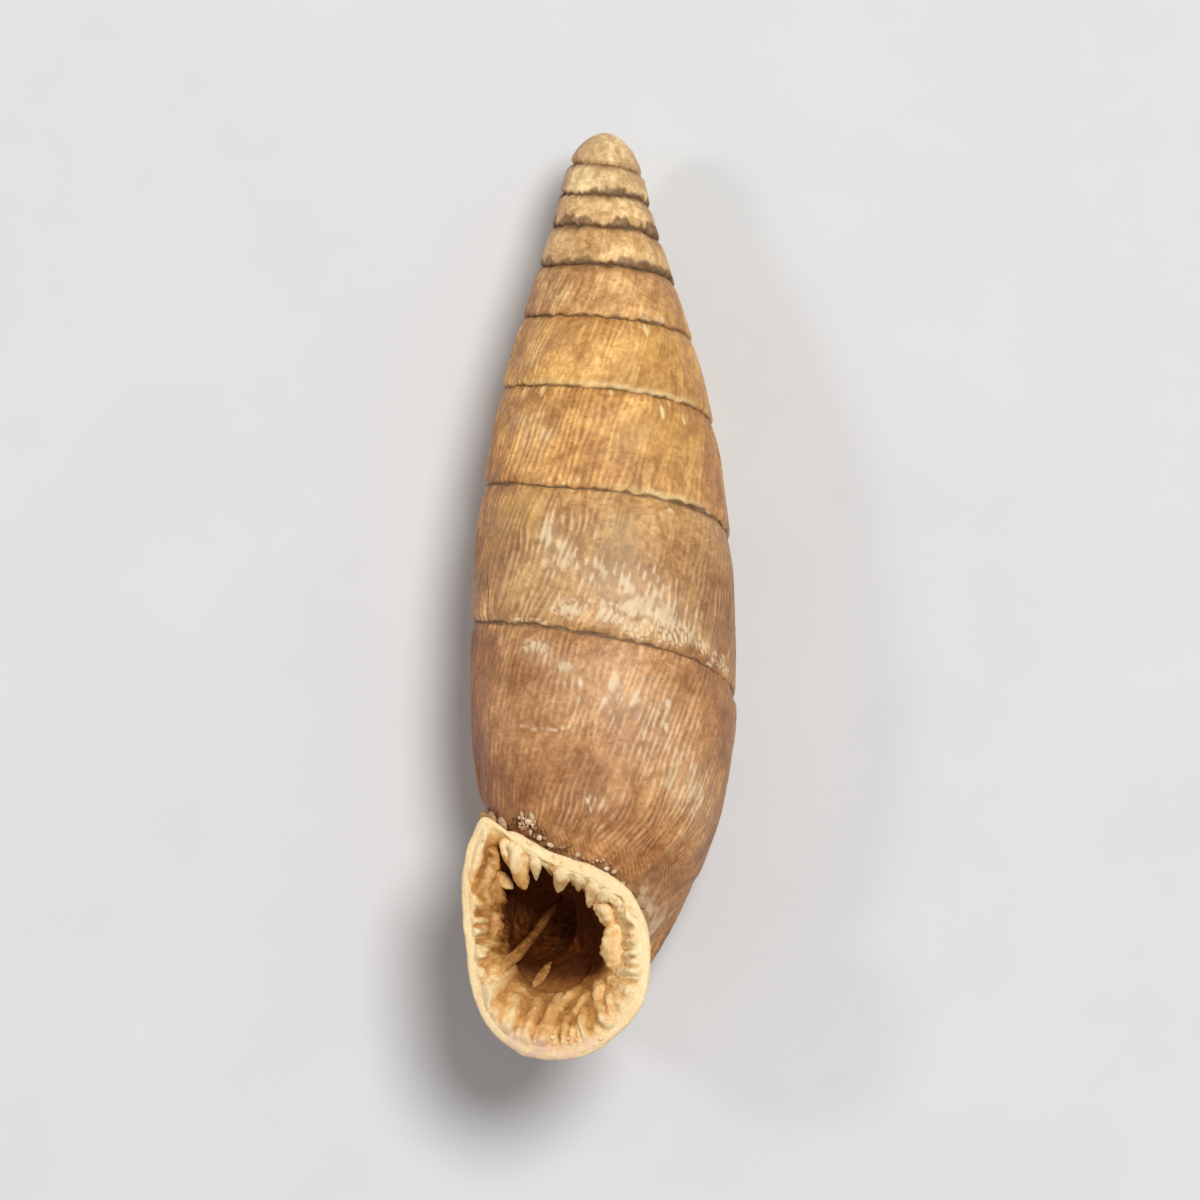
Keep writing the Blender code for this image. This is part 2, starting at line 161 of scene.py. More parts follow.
# how strong they are: everywhere, more where less worn, more on the left; and where that is. The
# strength also sets how strongly their crests and streaks are coloured, so on the left it paints the
# ribs' shading
RIB_STRENGTH = (0.40, 0.45, 0.6)
LEFT = (0.06, 0.13)  # middle and half width in turns from the left
# painted cool light: a rosy tint on the left side of every whorl, as middle and half width in turns
# from the left
ROSY_SIDE_LIGHT = (-0.02, 0.12)
SMOOTHED = 0.6  # how far the smooth patches flatten them
WRINKLE_HEIGHT = 0.026  # of the broader, uneven growth wrinkles
PIT_HEIGHT = 0.014  # of the fine uneven surface
PUFF_HEIGHT = 0.016  # of the beads and pebbles
PEBBLE_SIZE = (0.10, 0.12)
BEAD_LENGTH = 0.24
STROKE_DEPTH = 0.03  # of the dark lines
STROKE_SWAY = 0.03
WIDEST_DEPTH = 9.5
THINNEST = 0.5
TONE_DRIFT = 0.5  # how far the tone changes down a whorl, in turns
TONE_TURNS = 10.0  # turns from one end of the tones to the other

# --- Sutures; sizes in mm ---
SEAM_WANDER = 0.07  # how far the suture wanders
SEAM_RAGGED = 0.045  # and how ragged it is
SEAM_FRAY = 0.06  # how far the dirt in it strays
SEAM_SLOPE = 1.6  # its drop in a turn, in the middle of the spire
SEAM_ABOVE = (0.016, 0.012)  # half width of its line above it: least, and more where thick
SEAM_BELOW = (0.006, 0.022)  # and below it
SEAM_UPPER = 1.4  # how much more below the upper sutures
ROUND_HEM = (0.24, 0.08)  # share of a whorl that rounds in above its suture: apex, base
ROUND_HEM_TURN = 6.0  # the turn from which it is as at the base
SCALLOP_LEAST = 0.05
SCALLOP_HEIGHT = 0.25  # of the dark scallops above the upper sutures
SCALLOP_EDGE = 0.07
STAIN_DROP = 0.13  # how far the brown stain reaches below a suture
STAIN_LATE = 0.55  # how much weaker it is lower down
HEM_RISE = 0.055  # middle and half width of the pale hems above a suture
FAR = 9.9  # beyond all that is near, and where there is no suture

# unevenness: (how fine across and along the ribs and in depth, seed, octaves)
UNEVEN = {
    "sway": (9, 0.7, 0, 1, 3), "jitter": (55, 1.6, 0, 13, 1), "broken": (0.4, 3, 0, 3, 3),
    "wear": (4.2, 0.7, 0, 14, 2), "streak": (0.85, 1.9, 0, 4, 1), "fine": (1.7, 6, 0, 5, 1),
    "cloud": (14, 1.3, 0, 6, 3), "wrinkle": (40, 0.6, 0, 7, 3), "grainy": (9, 9, 0, 8, 3),
    "dashes": (0.9, 7, 0, 27, 1), "shreds": (0.8, 6.5, 0, 28, 3),
    "fray above": (75, 0, 0, 15, 2), "fray below": (60, 0, 0, 22, 2),
    "scallop": (26, 0, 0, 9, 1), "nick": (75, 0, 0, 10, 1), "scallop reach": (5, 0, 0, 23, 1),
    "thick": (30, 0, 0, 12, 1), "stain": (22, 0, 0, 24, 1),
    "seam wander": (11, 0, 0, 20, 1), "seam ragged": (85, 0, 0, 21, 1),
    "lip gap": (1 / 6, 0, 0, 25, 1), "lip stain": (0.25, 0, 0, 26, 1), "crust": (7, 7, 7, 29, 3),
    "collar": (4, 4, 4, 38, 3), "wall across": (6, 6, 0.5, 30, 2), "wall up": (6, 6, 0.5, 33, 2),
    "border": (1 / 14, 0, 0, 36, 2), "knobs": (5, 99, 0, 31, 2), "lumpy": (9, 9, 0.6, 32, 3),
    "wall grain": (34, 34, 2, 34, 3), "rim": (1 / 12, 0.8, 0, 35, 2),
    "lobe": (4, 1.3, 1.3, 50, 3), "lobe grain": (16, 3, 3, 52, 2), "lump": (1.3, 1.3, 1.3, 40, 2),
}
# where things set in: (start, and how much further they are full)
EDGES = {
    # by turn
    "ribs": (2.6, 2.4), "scallops": (0.2, 0.6), "scallops end": (3.7, 0.6), "late": (4.5, 0.8),
    "dirt": (0.2, 1.0), "dirt end": (8.95, 0.1), "wander": (0.5, 1.0), "wander end": (8.8, 0.2),
    "suture end": (LAST_TURN, 0.1),
    # by distance from a suture and by radius, mm
    "crest below": (0, 0.05), "crest above": (0, 0.04), "tip": (0, 0.3),
    # by unevenness
    "wear": (0.30, 0.4), "pebble": (0.08, 0.30), "bead": (0.10, 0.30), "pebbly": (0.25, 0.3),
    "beaded": (0.3, 0.3), "dashes": (0.35, 0.3), "shreds": (0.62, 0.28), "fresh": (0.55, 0.4),
    "marks": (0.35, 0.3), "scallop": (0.30, 0.4),
    # by direction round the mouth, degrees
    "stain from": (0, 15), "stain to": (0, 8), "crust from": (0, 8), "crust to": (0, 10),
    # by share of the way along the neck
    "neck": (0.02, 0.15), "neck end": (0.80, 0.17), "flare": (0.5, 0.5), "collar": (0.25, 0.6),
    # by ring of the mouth's sheet
    "wall": (0, 0.5), "wall end": (7.0, 0.9), "rim start": (0.5, 1.0),
    "rim end": (3.6, 0.6), "deep": (6.6, 1.0), "rosy end": (3.9, 0.8),
    # by share of a ridge's and a lobe's length
    "ridge end": (0.6, 0.4), "lobe tone": (0.25, 0.6),
}

# --- Patches on the whorls, in hundredths: (turn, share of the whorl's height, half length in
#     turns, half height as a share, strength)
PATCHES = {
    # pale patches: partly worn pale shell, partly a painted silky highlight on whorls 4 to 8
    "pale": (
        (840, 133, 2, 6, 80), (837.5, 143, 1.5, 5, 70), (835.2, 132, 1.5, 4, 70),
        (842, 140, 2, 5, 60), (833, 124, 1.2, 3, 60), (718, 30, 1.6, 13, 100),
        (720.5, 40, 3.5, 14, 55), (725, 66, 8, 18, 80), (731, 66, 6, 18, 80), (719, 48, 3, 14, 70),
        (735, 80, 5, 12, 70), (712, 40, 3, 30, 40), (816.5, 12, 3, 7, 85), (820.5, 20, 2.5, 6, 70),
        (823, 33, 6, 14, 60), (829, 30, 5, 16, 55), (833, 45, 5, 20, 50), (836, 62, 6, 18, 70),
        (824, 86, 4, 10, 60), (842, 72, 4, 16, 55), (616, 45, 2.5, 22, 75), (612, 30, 3, 20, 45),
        (513, 45, 5, 30, 55), (413, 55, 4, 25, 60), (522, 60, 4, 20, 30),
    ),
    "beads": (
        (723.5, 84.5, 5, 8.5, 100), (721, 87.5, 1.8, 3, 80), (730, 80, 3, 7, 70),
        (716, 96.5, 3.5, 2, 90), (816.5, 10, 3, 5, 80),
    ),
    "pebbles": (
        (734.5, 89, 4.5, 8, 90), (742, 93, 3, 6, 80), (729, 93, 2, 5, 80), (434.5, 95, 5, 8, 70),
        (838, 70, 5, 14, 45), (640, 100, 2, 5, 80),
    ),
    "spots": (
        (833.1, 27.8, 0.45, 3, 90), (833, 40, 0.4, 2.6, 100), (822.9, 86.2, 0.35, 1.8, 100),
        (823.2, 90.5, 0.2, 2.2, 70), (822.2, 26.5, 0.4, 3, 90), (721.3, 85.8, 0.6, 3, 100),
        (740, 99, 1, 2, 90), (734, 6, 0.6, 2, 90),
    ),
    "ticks": (
        (533, 11, 0.5, 10, 110), (530.2, 3, 0.3, 6, 80), (526.8, 1, 0.4, 5, 80),
        (634, 15, 0.38, 8.5, 110), (637.8, 19, 0.35, 5, 80), (626.2, 4, 0.4, 5, 70),
        (510, 5, 0.3, 7, 80), (519.5, 2, 0.3, 5, 80), (524.5, 2, 0.3, 4, 70), (615, 5, 0.4, 7, 80),
        (611, 6, 0.3, 8, 70), (635.5, 5, 0.3, 5, 60),
    ),
    "smooth": (
        (816, 62, 13, 45, 100), (812, 20, 10, 30, 60), (736, 30, 10, 40, 90),
        (636, 45, 12, 60, 70), (712, 75, 5, 30, 60), (540, 50, 10, 60, 50), (844, 15, 8, 20, 70),
    ),
    "streaky": (
        (722, 50, 7, 32, 100), (838, 72, 9, 40, 100), (822, 93, 6, 12, 90), (827, 38, 8, 28, 80),
        (613, 50, 5, 50, 100), (511, 50, 6, 50, 100), (717, 45, 7, 45, 90), (732, 72, 8, 30, 90),
        (415, 50, 6, 50, 90), (630, 50, 10, 50, 45), (530, 50, 10, 50, 50), (740, 40, 6, 30, 40),
    ),
    "hems": (
        (531, 100, 10, 30, 100), (633, 100, 6, 30, 90), (514, 100, 5, 30, 45),
    ),
    "gold": (
        (715, 17, 2.2, 12, 90), (711, 22, 1.2, 14, 60), (533, 50, 10, 40, 40),
        (708.5, 80, 0.6, 13, 55), (636, 35, 8, 35, 45), (440, 70, 3, 30, 50),
    ),
    "olive": (
        (727.5, 30, 2, 20, 85), (725.5, 52, 1.8, 14, 70), (728, 48, 1, 10, 50),
        (530, 83, 6, 10, 55), (619, 16, 1.6, 5, 70), (630, 45, 6, 30, 30),
    ),
    # brown patches: the tall ones on the right side of whorls 4 to 8 and on the left of whorls 7 and
    # 8 are painted shade of the whorls' sides, the small ones brown marks of the shell
    "brown_and_side_shade": (
        (803, 75, 4, 30, 75), (816, 80, 8, 16, 35), (830, 92, 5, 12, 60), (802, 8, 3, 7, 90),
        (819, 52, 3, 7, 35), (844, 25, 6, 16, 45), (705, 70, 4, 40, 10), (742, 55, 5, 25, 35),
        (609, 18, 2, 7, 60), (330, 20, 20, 20, 40), (746, 50, 6, 50, 45), (643, 50, 7, 60, 50),
        (543, 50, 7, 60, 35), (443, 50, 7, 60, 30), (846, 60, 5, 30, 30), (802, 45, 5, 50, 45),
    ),
    "dark": (
        (836.6, 137, 0.5, 4, 60), (838.8, 128, 0.6, 3, 50), (834.2, 129, 0.4, 3, 50),
        (621.8, 86, 0.6, 3, 70), (621.2, 83, 0.3, 2, 50), (435.3, 1, 1.2, 7, 50),
        (336.5, 88, 1.8, 12, 95), (338, 98, 1.2, 6, 80), (522.5, 14, 0.5, 4, 35),
        (625.5, 7.5, 0.5, 2, 60), (433, 90, 0.8, 6, 60), (812.5, 103, 1.4, 3.5, 75),
        (815, 107, 1.6, 4, 75), (817.5, 112, 2, 3, 50),
    ),
}
# fine lines, in hundredths: (turn and share of one end, of the other, half width in mm,
# strength)
PALE_STROKES = (
    (814.2, 52.8, 816.3, 54, 1.2, 80), (816.3, 54, 818, 52.4, 1, 60),
    (818, 52.4, 819, 53, 1.8, 100), (819, 53, 820.9, 50, 1.4, 100),
)
DARK_STROKES = (
    (815, 56, 820.5, 53, 2, 40), (707.3, 66, 708.3, 82, 2.6, 100),
    (708.3, 82, 707.8, 99, 3.6, 100), (320.3, 42, 321.4, 56, 2.2, 100),
    (321.4, 56, 319.6, 66, 2, 100), (416.5, 20, 415, 60, 2.6, 100),
    (420.5, 30, 418.5, 75, 2.6, 100), (411.5, 35, 410.5, 85, 2.4, 100),
    (418.5, 75, 421, 60, 2.2, 90), (410, 30, 413, 34, 1.6, 50),
)
# beside the lip's right edge: half width in mm, from and to in degrees, lowest place forward
LIP_CRUST = (0.34, -6, 46, -1.8)
CRUST_STRENGTH = 0.75
CRUST_LUMPS = (0.40, 0.18)
# and the same of the stain along its upper edge
LIP_STAIN = (0.09, 40, 132, -1.2)
LIP_STAIN_PAST = 0.02
LIP_STAIN_SWAY = 0.05
COLLAR_CLOUDS = (0.35, 2.2)  # where the pale collar is thin, and how sharply it changes
COLLAR_LEVELS = (0.1, 0.25, 1)  # least, where thin, most

# --- Mouth's wall. Places in the mouth are in its own plane: across to the right and up from
#     its centre, and forward of it, all in hundredths of a millimetre
# ridges: (places along it, half width, height)
RIDGES = (
    (((-86, -142), (-80, -105), (-76, -68)), 10.5, 13),
    (((-54, -168), (-48, -128), (-43, -86)), 9, 13),
    (((-24, -162), (-16, -122), (-8, -82)), 11.5, 15), (((11, -166), (13, -122)), 6.5, 7),
    (((56, -176), (43, -142), (41, -104)), 7.5, 13),
    (((108, -160), (84, -134), (68, -98)), 7.5, 14), (((-69, -160), (-64, -136)), 5, 6),
    (((-37, -168), (-33, -140)), 5, 7), (((-4, -170), (-2, -142)), 5, 7),
    (((26, -170), (25, -136)), 5, 6), (((39, -170), (33, -130)), 4.5, 6),
    (((80, -170), (64, -140)), 5.5, 7), (((-114, -130), (-98, -104)), 6, 7),
    (((-100, -142), (-90, -118)), 5, 6),
    (((-132, -106), (-110, -67), (-103, -42), (-98, -19)), 13, 14),
    (((-114, 124), (-114, 78)), 9, 12), (((-115, 62), (-113, 22)), 8, 9),
    (((-101, 54), (-101, 18)), 5.5, 8), (((-126, 98), (-122, 72)), 6, 7),
    (((-2, -102), (6, -82), (22, -62)), 7, 6), (((26, -110), (36, -90), (48, -76)), 6, 6),
    (((-148, -22), (-134, -15), (-118, 13)), 7, 10), (((-148, -54), (-126, -44)), 7.5, 8),
    (((-144, -86), (-124, -80)), 6.5, 7), (((-146, 22), (-122, 36)), 7, 8),
    (((-148, 42), (-124, 50)), 6.5, 7), (((-146, 80), (-124, 66)), 8, 9),
    (((-136, -2), (-114, -8)), 6.5, 6), (((-124, 198), (-136, 160), (-147, 116)), 5.5, 9),
    (((-110, 166), (-120, 134), (-131, 98)), 6, 10), (((164, -1), (105, 7)), 6, 10),
    (((158, -19), (110, -15)), 5.5, 9), (((154, -33), (120, -30)), 6, 8),
    (((160, -52), (104, -46)), 6.5, 10), (((152, 17), (120, 17)), 6, 7),
    (((134, -132), (102, -98)), 7.5, 8), (((94, -118), (88, -88)), 6, 8),
    (((142, -92), (110, -74)), 8.5, 8), (((146, 44), (114, 58)), 12, 10),
    (((122, 100), (96, 90)), 8, 6),
)
RIDGE_SPREAD = 1.25
RIDGE_END = 0.7  # how far a ridge is lower at its end
# hollows: (across, up, half width, half height, depth, darkness); the darkness is painted shade of
# the hollow, laid on as ochre
PITS = (
    (-137, 6, 7.5, 8.5, 5, 100), (-129, -64, 7.5, 7.5, 5, 90), (-134, 55, 6, 7.5, 5, 100),
    (-121, 162, 5, 16, 4, 80), (-134, 128, 4.5, 18, 3, 70), (-110, 171, 10, 6, 5, 60),
    (102, 76, 16, 8.5, 6, 75), (120, 30, 16, 5, 5, 65), (112, -110, 11, 5.5, 7, 100),
    (60, -140, 7, 10, 5, 80), (72, -156, 7, 3.5, 3, 60), (-27, -82, 10, 8, 3, 75),
    (-70, -142, 9, 6, 4, 85), (-46, -150, 5.5, 5, 4, 70), (-41, -160, 4, 9, 4, 100),
    (-15, -166, 3, 6, 3, 70), (3, -156, 4.5, 12, 4, 90), (-120, -120, 6, 5, 4, 70),
    (18, -152, 3.5, 8, 3, 50), (118, -8, 10, 3.5, 3, 60), (128, -24, 12, 3, 3, 70),
    (130, -42, 12, 3, 3, 60), (134, -64, 12, 4, 3, 50), (130, 6, 10, 3.5, 3, 50),
    (-138, 34, 5, 5, 3, 70), (-134, -32, 8, 5, 3, 70), (-120, 92, 5, 12, 3, 60),
)
# how dark the wall is, in hundredths, from cream to 100 at the throat's brown: (direction in
# degrees, at each ring). Its lower left, about 200 to 305 degrees, stays paler: painted light on the
# slope the light falls on; and past 100, deep in the hollow, it turns paler again: painted light
# that lifts the hollow's shade
TONE_RINGS = (3.6, 4.4, 5.2, 6.0, 6.6, 7.4, 8.2, 9.0, 12.0)
TONE_ROUND = (
    (0, (8, 12, 18, 36, 98, 100, 100, 110, 150)), (45, (8, 12, 22, 45, 98, 100, 100, 110, 150)),
    (78, (6, 12, 66, 98, 100, 100, 110, 130, 150)),
    (110, (6, 12, 70, 98, 100, 100, 110, 130, 150)),
    (135, (10, 46, 62, 74, 95, 100, 110, 130, 150)),
    (165, (8, 36, 50, 60, 82, 100, 110, 130, 150)), (200, (8, 30, 44, 48, 54, 62, 80, 110, 150)),
    (235, (10, 40, 54, 54, 50, 52, 68, 100, 150)), (270, (10, 44, 58, 58, 54, 58, 72, 100, 150)),
    (305, (10, 34, 50, 54, 60, 68, 85, 110, 150)), (335, (10, 20, 30, 46, 90, 100, 100, 115, 150)),
    (360, (8, 12, 18, 36, 98, 100, 100, 110, 150)),
)
BORDER = (3.75, 0.7)  # ring where the wall starts, and how far that wanders
WALL_SWAY = 0.07  # mm
LUMP_HEIGHT = (0.05, 0.07)  # mm, and how much more on the left side
WALL_GRAIN = 0.022  # mm
RIM_HEIGHT = (0.045, 0.016)  # of the lip's waves and grain, mm
LEFT_WALL = (172, 32)  # degrees
ROSY_RIM = (262, 38)
# lobes that stand on the wall: (places along it, half width at each, bluntness, tone at its
# start and at its end)
TEETH = (
    (((-106, 198, -18), (-74, 186, -12), (-36, 162, -11), (2, 144, -11), (42, 127, -11), (76,
      108, -11), (106, 86, -12)), (8, 12, 12, 12, 12, 12, 10), 12, 2, 8),
    (((-122, 134, -58), (-102, 122, -60), (-84, 108, -64)), (10, 12, 9), 4, 40, 22),
    (((-90, 190, -14), (-87, 164, -18), (-82, 136, -42)), (12, 12, 8), 3, 4, 26),
    (((-74, 184, -10), (-70, 146, -16), (-61, 103, -46)), (15, 16, 14), 5, 2, 40),
    (((-53, 172, -10), (-53, 152, -20), (-57, 128, -40)), (10, 9, 5), 3, 4, 20),
    (((-38, 162, -10), (-38, 142, -16), (-41, 118, -42)), (12, 12, 6), 3, 2, 6),
    (((-22, 155, -10), (-17, 142, -20), (-14, 126, -42)), (10, 9, 5), 3, 5, 18),
    (((-5, 148, -10), (-2, 134, -18), (-2, 114, -38)), (11, 11, 7), 3, 3, 16),
    (((16, 138, -10), (8, 122, -18), (-5, 97, -46)), (17, 17, 9), 4, 2, 8),
    (((27, 134, -10), (26, 122, -18), (24, 106, -40)), (10, 9, 5), 3, 6, 20),
    (((42, 127, -10), (37, 116, -18), (31, 98, -46)), (14, 13, 6), 4, 2, 12),
    (((55, 120, -10), (49, 110, -20), (44, 96, -42)), (10, 9, 5), 3, 10, 30),
    (((72, 110, -10), (60, 96, -20), (49, 70, -48)), (14, 13, 10), 4, 5, 14),
    (((100, 90, -8), (82, 86, -14), (60, 72, -42)), (12, 12, 9), 4, 4, 12),
    (((72, 88, -36), (82, 64, -38), (90, 34, -44)), (15, 20, 18), 5, 10, 24),
    (((104, 60, -20), (128, 54, -8), (148, 42, -6)), (13, 13, 10), 4, 12, 6),
    (((96, 38, -52), (94, -2, -38), (98, -40, -48)), (20, 25, 20), 6, 22, 22),
    (((90, 88, -10), (106, 74, -14), (130, 62, -8)), (11, 12, 10), 4, 6, 10),
    (((84, -54, -52), (104, -64, -30), (118, -68, -26)), (10, 12, 10), 4, 28, 20),
    (((94, -74, -36), (110, -84, -20), (124, -90, -20)), (10, 12, 10), 4, 32, 20),
    (((66, -56, -66), (70, -84, -42), (76, -118, -26)), (11, 13, 10), 4, 36, 24),
    (((123, 14.5, -14), (124, 12, -12)), (6, 6), 2, 32, 26),
    (((-6, -160, 0), (-5, -163, 2)), (5, 5), 2, 0, 0),
    (((20, -162, 0), (21, -165, 2)), (4, 4), 2, 10, 10),
    (((34, -164, 0), (35, -167, 2)), (4, 4), 2, 10, 10),
    (((76, -162, 0), (79, -166, 2)), (5.5, 5), 2, 10, 10),
    (((-30, -166, 0), (-29, -169, 2)), (4, 4), 2, 10, 10),
    (((-108, -110, -12), (-110, -112, -10)), (4.5, 4.5), 2, 10, 10),
)
LAMELLAE = (
    (((-16, 120, -210), (-44, 76, -190), (-64, 40, -164), (-84, 6, -130), (-97, -20, -76),
      (-103, -46, -27), (-108, -76, -8)), (5, 7, 8, 10, 12, 11, 6), 3, 80, 40),
    (((-36, -2, -199), (-50, -30, -168), (-61, -53, -138)), (5, 9, 9), 4, 64, 52),
)
ROOT_SHARE = 0.15  # of a lobe's length, in which its root closes
LOBE_FLAT = 0.9  # its thickness as a share of its width

# --- Grains of dirt: (turn, depth, spread in turns, spread in mm, count, size in mm, tint) ---
GRAINS = (
    (9.138, 12.25, 0.016, 0.09, 26, 0.03, 0.8), (9.15, 12.45, 0.014, 0.08, 20, 0.027, 0.5),
    (9.11, 12.2, 0.014, 0.08, 16, 0.028, 0.3), (9.185, 12.72, 0.02, 0.05, 16, 0.026, 0.5),
    (9.235, 12.98, 0.03, 0.03, 9, 0.028, 0.8), (9.285, 13.36, 0.012, 0.04, 7, 0.034, 0.7),
    (9.32, 13.52, 0.012, 0.04, 6, 0.032, 0.5),
)
# single lumps: (turn, depth, half length and half width in mm, turned in degrees, tint)
CRUMBS = (
    (9.13, 12.12, 0.1, 0.05, 80, 0.75), (9.147, 12.16, 0.09, 0.055, 95, 0.85),
    (9.139, 12.24, 0.085, 0.075, 20, 1), (9.126, 12.33, 0.06, 0.045, 60, 0.7),
    (9.14, 12.42, 0.07, 0.04, 80, 0.9), (9.153, 12.53, 0.065, 0.055, 30, 1),
    (9.168, 12.66, 0.095, 0.05, -20, 0.9), (9.21, 12.87, 0.065, 0.06, 45, 0.8),
    (9.255, 13.12, 0.055, 0.05, 0, 1), (9.268, 13.17, 0.06, 0.045, 30, 0.85),
    (9.283, 13.38, 0.08, 0.07, -30, 0.85), (9.03, 11.98, 0.23, 0.16, 10, 0.62),
    (9.062, 12.06, 0.2, 0.13, -20, 0.62), (9.088, 12.18, 0.15, 0.1, -30, 0.72),
    (9.335, 13.66, 0.17, 0.12, -50, 0.7), (9.352, 13.84, 0.14, 0.1, -60, 0.62),
)
CRUMB_SIZE = (0.85, 0.85, 0.5)  # of its half length, half width and half width
CRUMB_DARKER = 0.12
GRAIN_SIZES = (0.6, 1.3)  # least and most, as a share of the size
GRAIN_WIDTHS = (0.6, 1.0)  # as a share of the length
GRAIN_FLAT = 0.55  # thickness as a share of the length
GRAIN_INWARD = 0.2  # the part of its lengthwise direction that is along Y
GRAIN_TINTS = (-0.35, 0.1)
LUMP_APART = 7 / 1.3  # so that no two grains have the same lumps


# --- Colours ---
def linear(*levels):
    """A linear colour from red, green and blue of 0-255 as a screen shows them."""
    shares = [level / 255 for level in levels]
    return (*(((s + 0.055) / 1.055) ** 2.4 if s > 0.04045 else s / 12.92 for s in shares), 1)


def stops(*rows):
    """Places and colours of a ramp."""
    return [(at, linear(*levels)) for at, *levels in rows]


# along the spire, from the apex to the base
TONES = stops(
    (0.0, 236, 200, 150), (0.15, 244, 212, 158), (0.25, 240, 200, 144), (0.35, 238, 196, 138),
    (0.45, 230, 180, 122), (0.55, 242, 188, 112), (0.65, 228, 172, 104), (0.75, 212, 166, 112),
    (0.84, 204, 152, 104), (0.90, 196, 140, 88), (1.0, 182, 128, 86),
)
# from the lip's cream to the throat's dark brown at 0.667, then paler again: painted light for the
# deep hollow
LIP_TONES = stops(
    (0.0, 250, 227, 178), (0.10, 246, 216, 160), (0.19, 238, 198, 136), (0.27, 222, 172, 106),
    (0.35, 194, 142, 80), (0.43, 160, 108, 54), (0.52, 122, 74, 34), (0.60, 90, 48, 20),
    (0.667, 70, 34, 12), (0.76, 120, 62, 24), (0.87, 214, 136, 72), (1.0, 252, 190, 124),
)
LIP_TONE_END = 1.5  # the tone at the end of them
GRAIN_TONES = stops((0.0, 92, 54, 26), (0.45, 168, 120, 74), (1.0, 248, 226, 188))
# unevenness of the colour: (from, to, and what the colour is multiplied by at each)
CLOUDS = (0.40, 0.60, (0.82, 0.76, 0.70, 1), (1.10, 1.13, 1.13, 1))
MOTTLES = (0.40, 0.60, (0.83, 0.78, 0.72, 1), (1.10, 1.13, 1.15, 1))
FLECKS = (0.38, 0.62, (0.88, 0.84, 0.80, 1), (1.09, 1.12, 1.13, 1))
STREAKS = (0.30, 0.72, (0.84, 0.80, 0.76, 1), (1.14, 1.18, 1.21, 1))
# paler rib crests and darker grooves: partly the ribs' own paleness, partly painted light and shade
# of the relief, strongest on the left
CRESTS = (0.02, 0.40, (0.87, 0.82, 0.78, 1), (1.14, 1.18, 1.21, 1))
# tints that the whorls' colour is multiplied by, and then tints laid over it, each where its
# mask is: (mask, strength, tint)
# on the whorls, rosy is painted cool light on each whorl's left side
SHADES = (("rosy", 0.8, linear(232, 206, 206)), ("brown_and_side_shade", 0.9, linear(196, 156, 124)))
LAYERS = (
    ("fresh", 0.42, linear(244, 214, 168)), ("olive", 0.55, linear(150, 122, 78)),
    # pale is partly a painted silky highlight
    ("gold", 0.6, linear(236, 190, 104)), ("pale", 0.74, linear(244, 221, 182)),
    ("hem", 0.9, linear(248, 220, 160)), ("collar", 0.75, linear(226, 190, 154)),
    ("stain", 0.68, linear(150, 102, 54)),
)
DIRT_TONES = (0.4, 0.6, linear(104, 68, 40), linear(112, 92, 72))
DIRT_STRENGTH = 0.88
DIRT_ROUGHER = 0.3
RUSTY_TINT = linear(238, 214, 184)
OCHRE_SHADE_TINT = linear(158, 104, 46)
ROSY_TINT = linear(228, 190, 168)
ORANGE_TINT = linear(226, 164, 94)
ORANGE_TONES = (0.75, 0.3)  # tones of the wall between which orange shows
TONE_MOTTLE = 0.42
PIT_SHADE_STRENGTH = 0.85
TINT_SPREAD = 0.5
# noise in the materials: (size of its features in mm, detail, roughness, twist)
NOISES = {
    "cloud": (0.9, 3.0, 0.5, 0.0), "mottle": (0.24, 5.0, 0.65, 0.4), "fleck": (0.085, 3.0, 0.6, 0.5),
    "dirt": (0.12, 3.0, 0.55, 0.0), "skin": (0.035, 4.0, 0.65, 0.0),
    "lip": (0.14, 4.0, 0.65, 0.0), "orange": (0.28, 3.0, 0.6, 0.0), "rosy": (0.22, 3.0, 0.55, 0.0),
    "rusty": (0.045, 3.0, 0.6, 0.0), "lip skin": (0.04, 4.0, 0.6, 0.0),
    "grain": (0.03, 3.0, 0.55, 0.0), "grain sheen": (0.05, 3.0, 0.55, 0.0),
    "grain skin": (0.015, 3.0, 0.55, 0.0), "paper": (3.0, 3.0, 0.55, 0.0),
    "paper sheen": (2.0, 3.0, 0.55, 0.0),
}
# what a noise becomes: (from, to, value at the first, value at the second)
LEVELS = {
    "whorl sheen": (0.3, 0.7, 0.36, 0.52), "orange": (0.50, 0.62, 0.0, 0.60),
    "rosy": (0.40, 0.60, 0.25, 0.85), "rusty": (0.45, 0.7, 0.0, 0.45),
    "lip sheen": (0.3, 0.7, 0.34, 0.50), "grain sheen": (0.3, 0.7, 0.4, 0.7),
    "paper": (0.3, 0.7, 0.0, 1.0), "paper sheen": (0.3, 0.7, 0.8, 0.9),
}
SKIN_BUMP = 0.006  # mm
GRAIN_BUMP = 0.004
SHELL_ROUGH = 0.42
GRAIN_ROUGH = 0.6
SHELL_SHINE = 0.3  # specular level
PAPER_ROUGH = 0.85
PAPER_SHINE = 0.2
PAPER_GREYS = (0.70, 0.72)

# --- Grids of the pieces ---
# whorls: (name, first turn, last turn, columns a turn, rows, how much wider they are cut away)
WHORL_PIECES = (
    ("spire", -1.0, 4.75, 420, 26, TUNNEL_ROOM),
    ("middle_whorls", 4.75, 6.75, 900, 40, TUNNEL_ROOM),
    ("eighth_whorl", 6.75, 7.75, 1000, 66, TUNNEL_ROOM),
    ("last_whorl", 7.75, 8.72, 1000, 96, TUNNEL_ROOM),
    ("base", 8.72, 10.0, 600, 40, BASE_ROOM),
)
NECK_GRID = (420, 150, 130)  # rows in the coil, rows to the mouth, columns
MOUTH_COLUMNS = 640
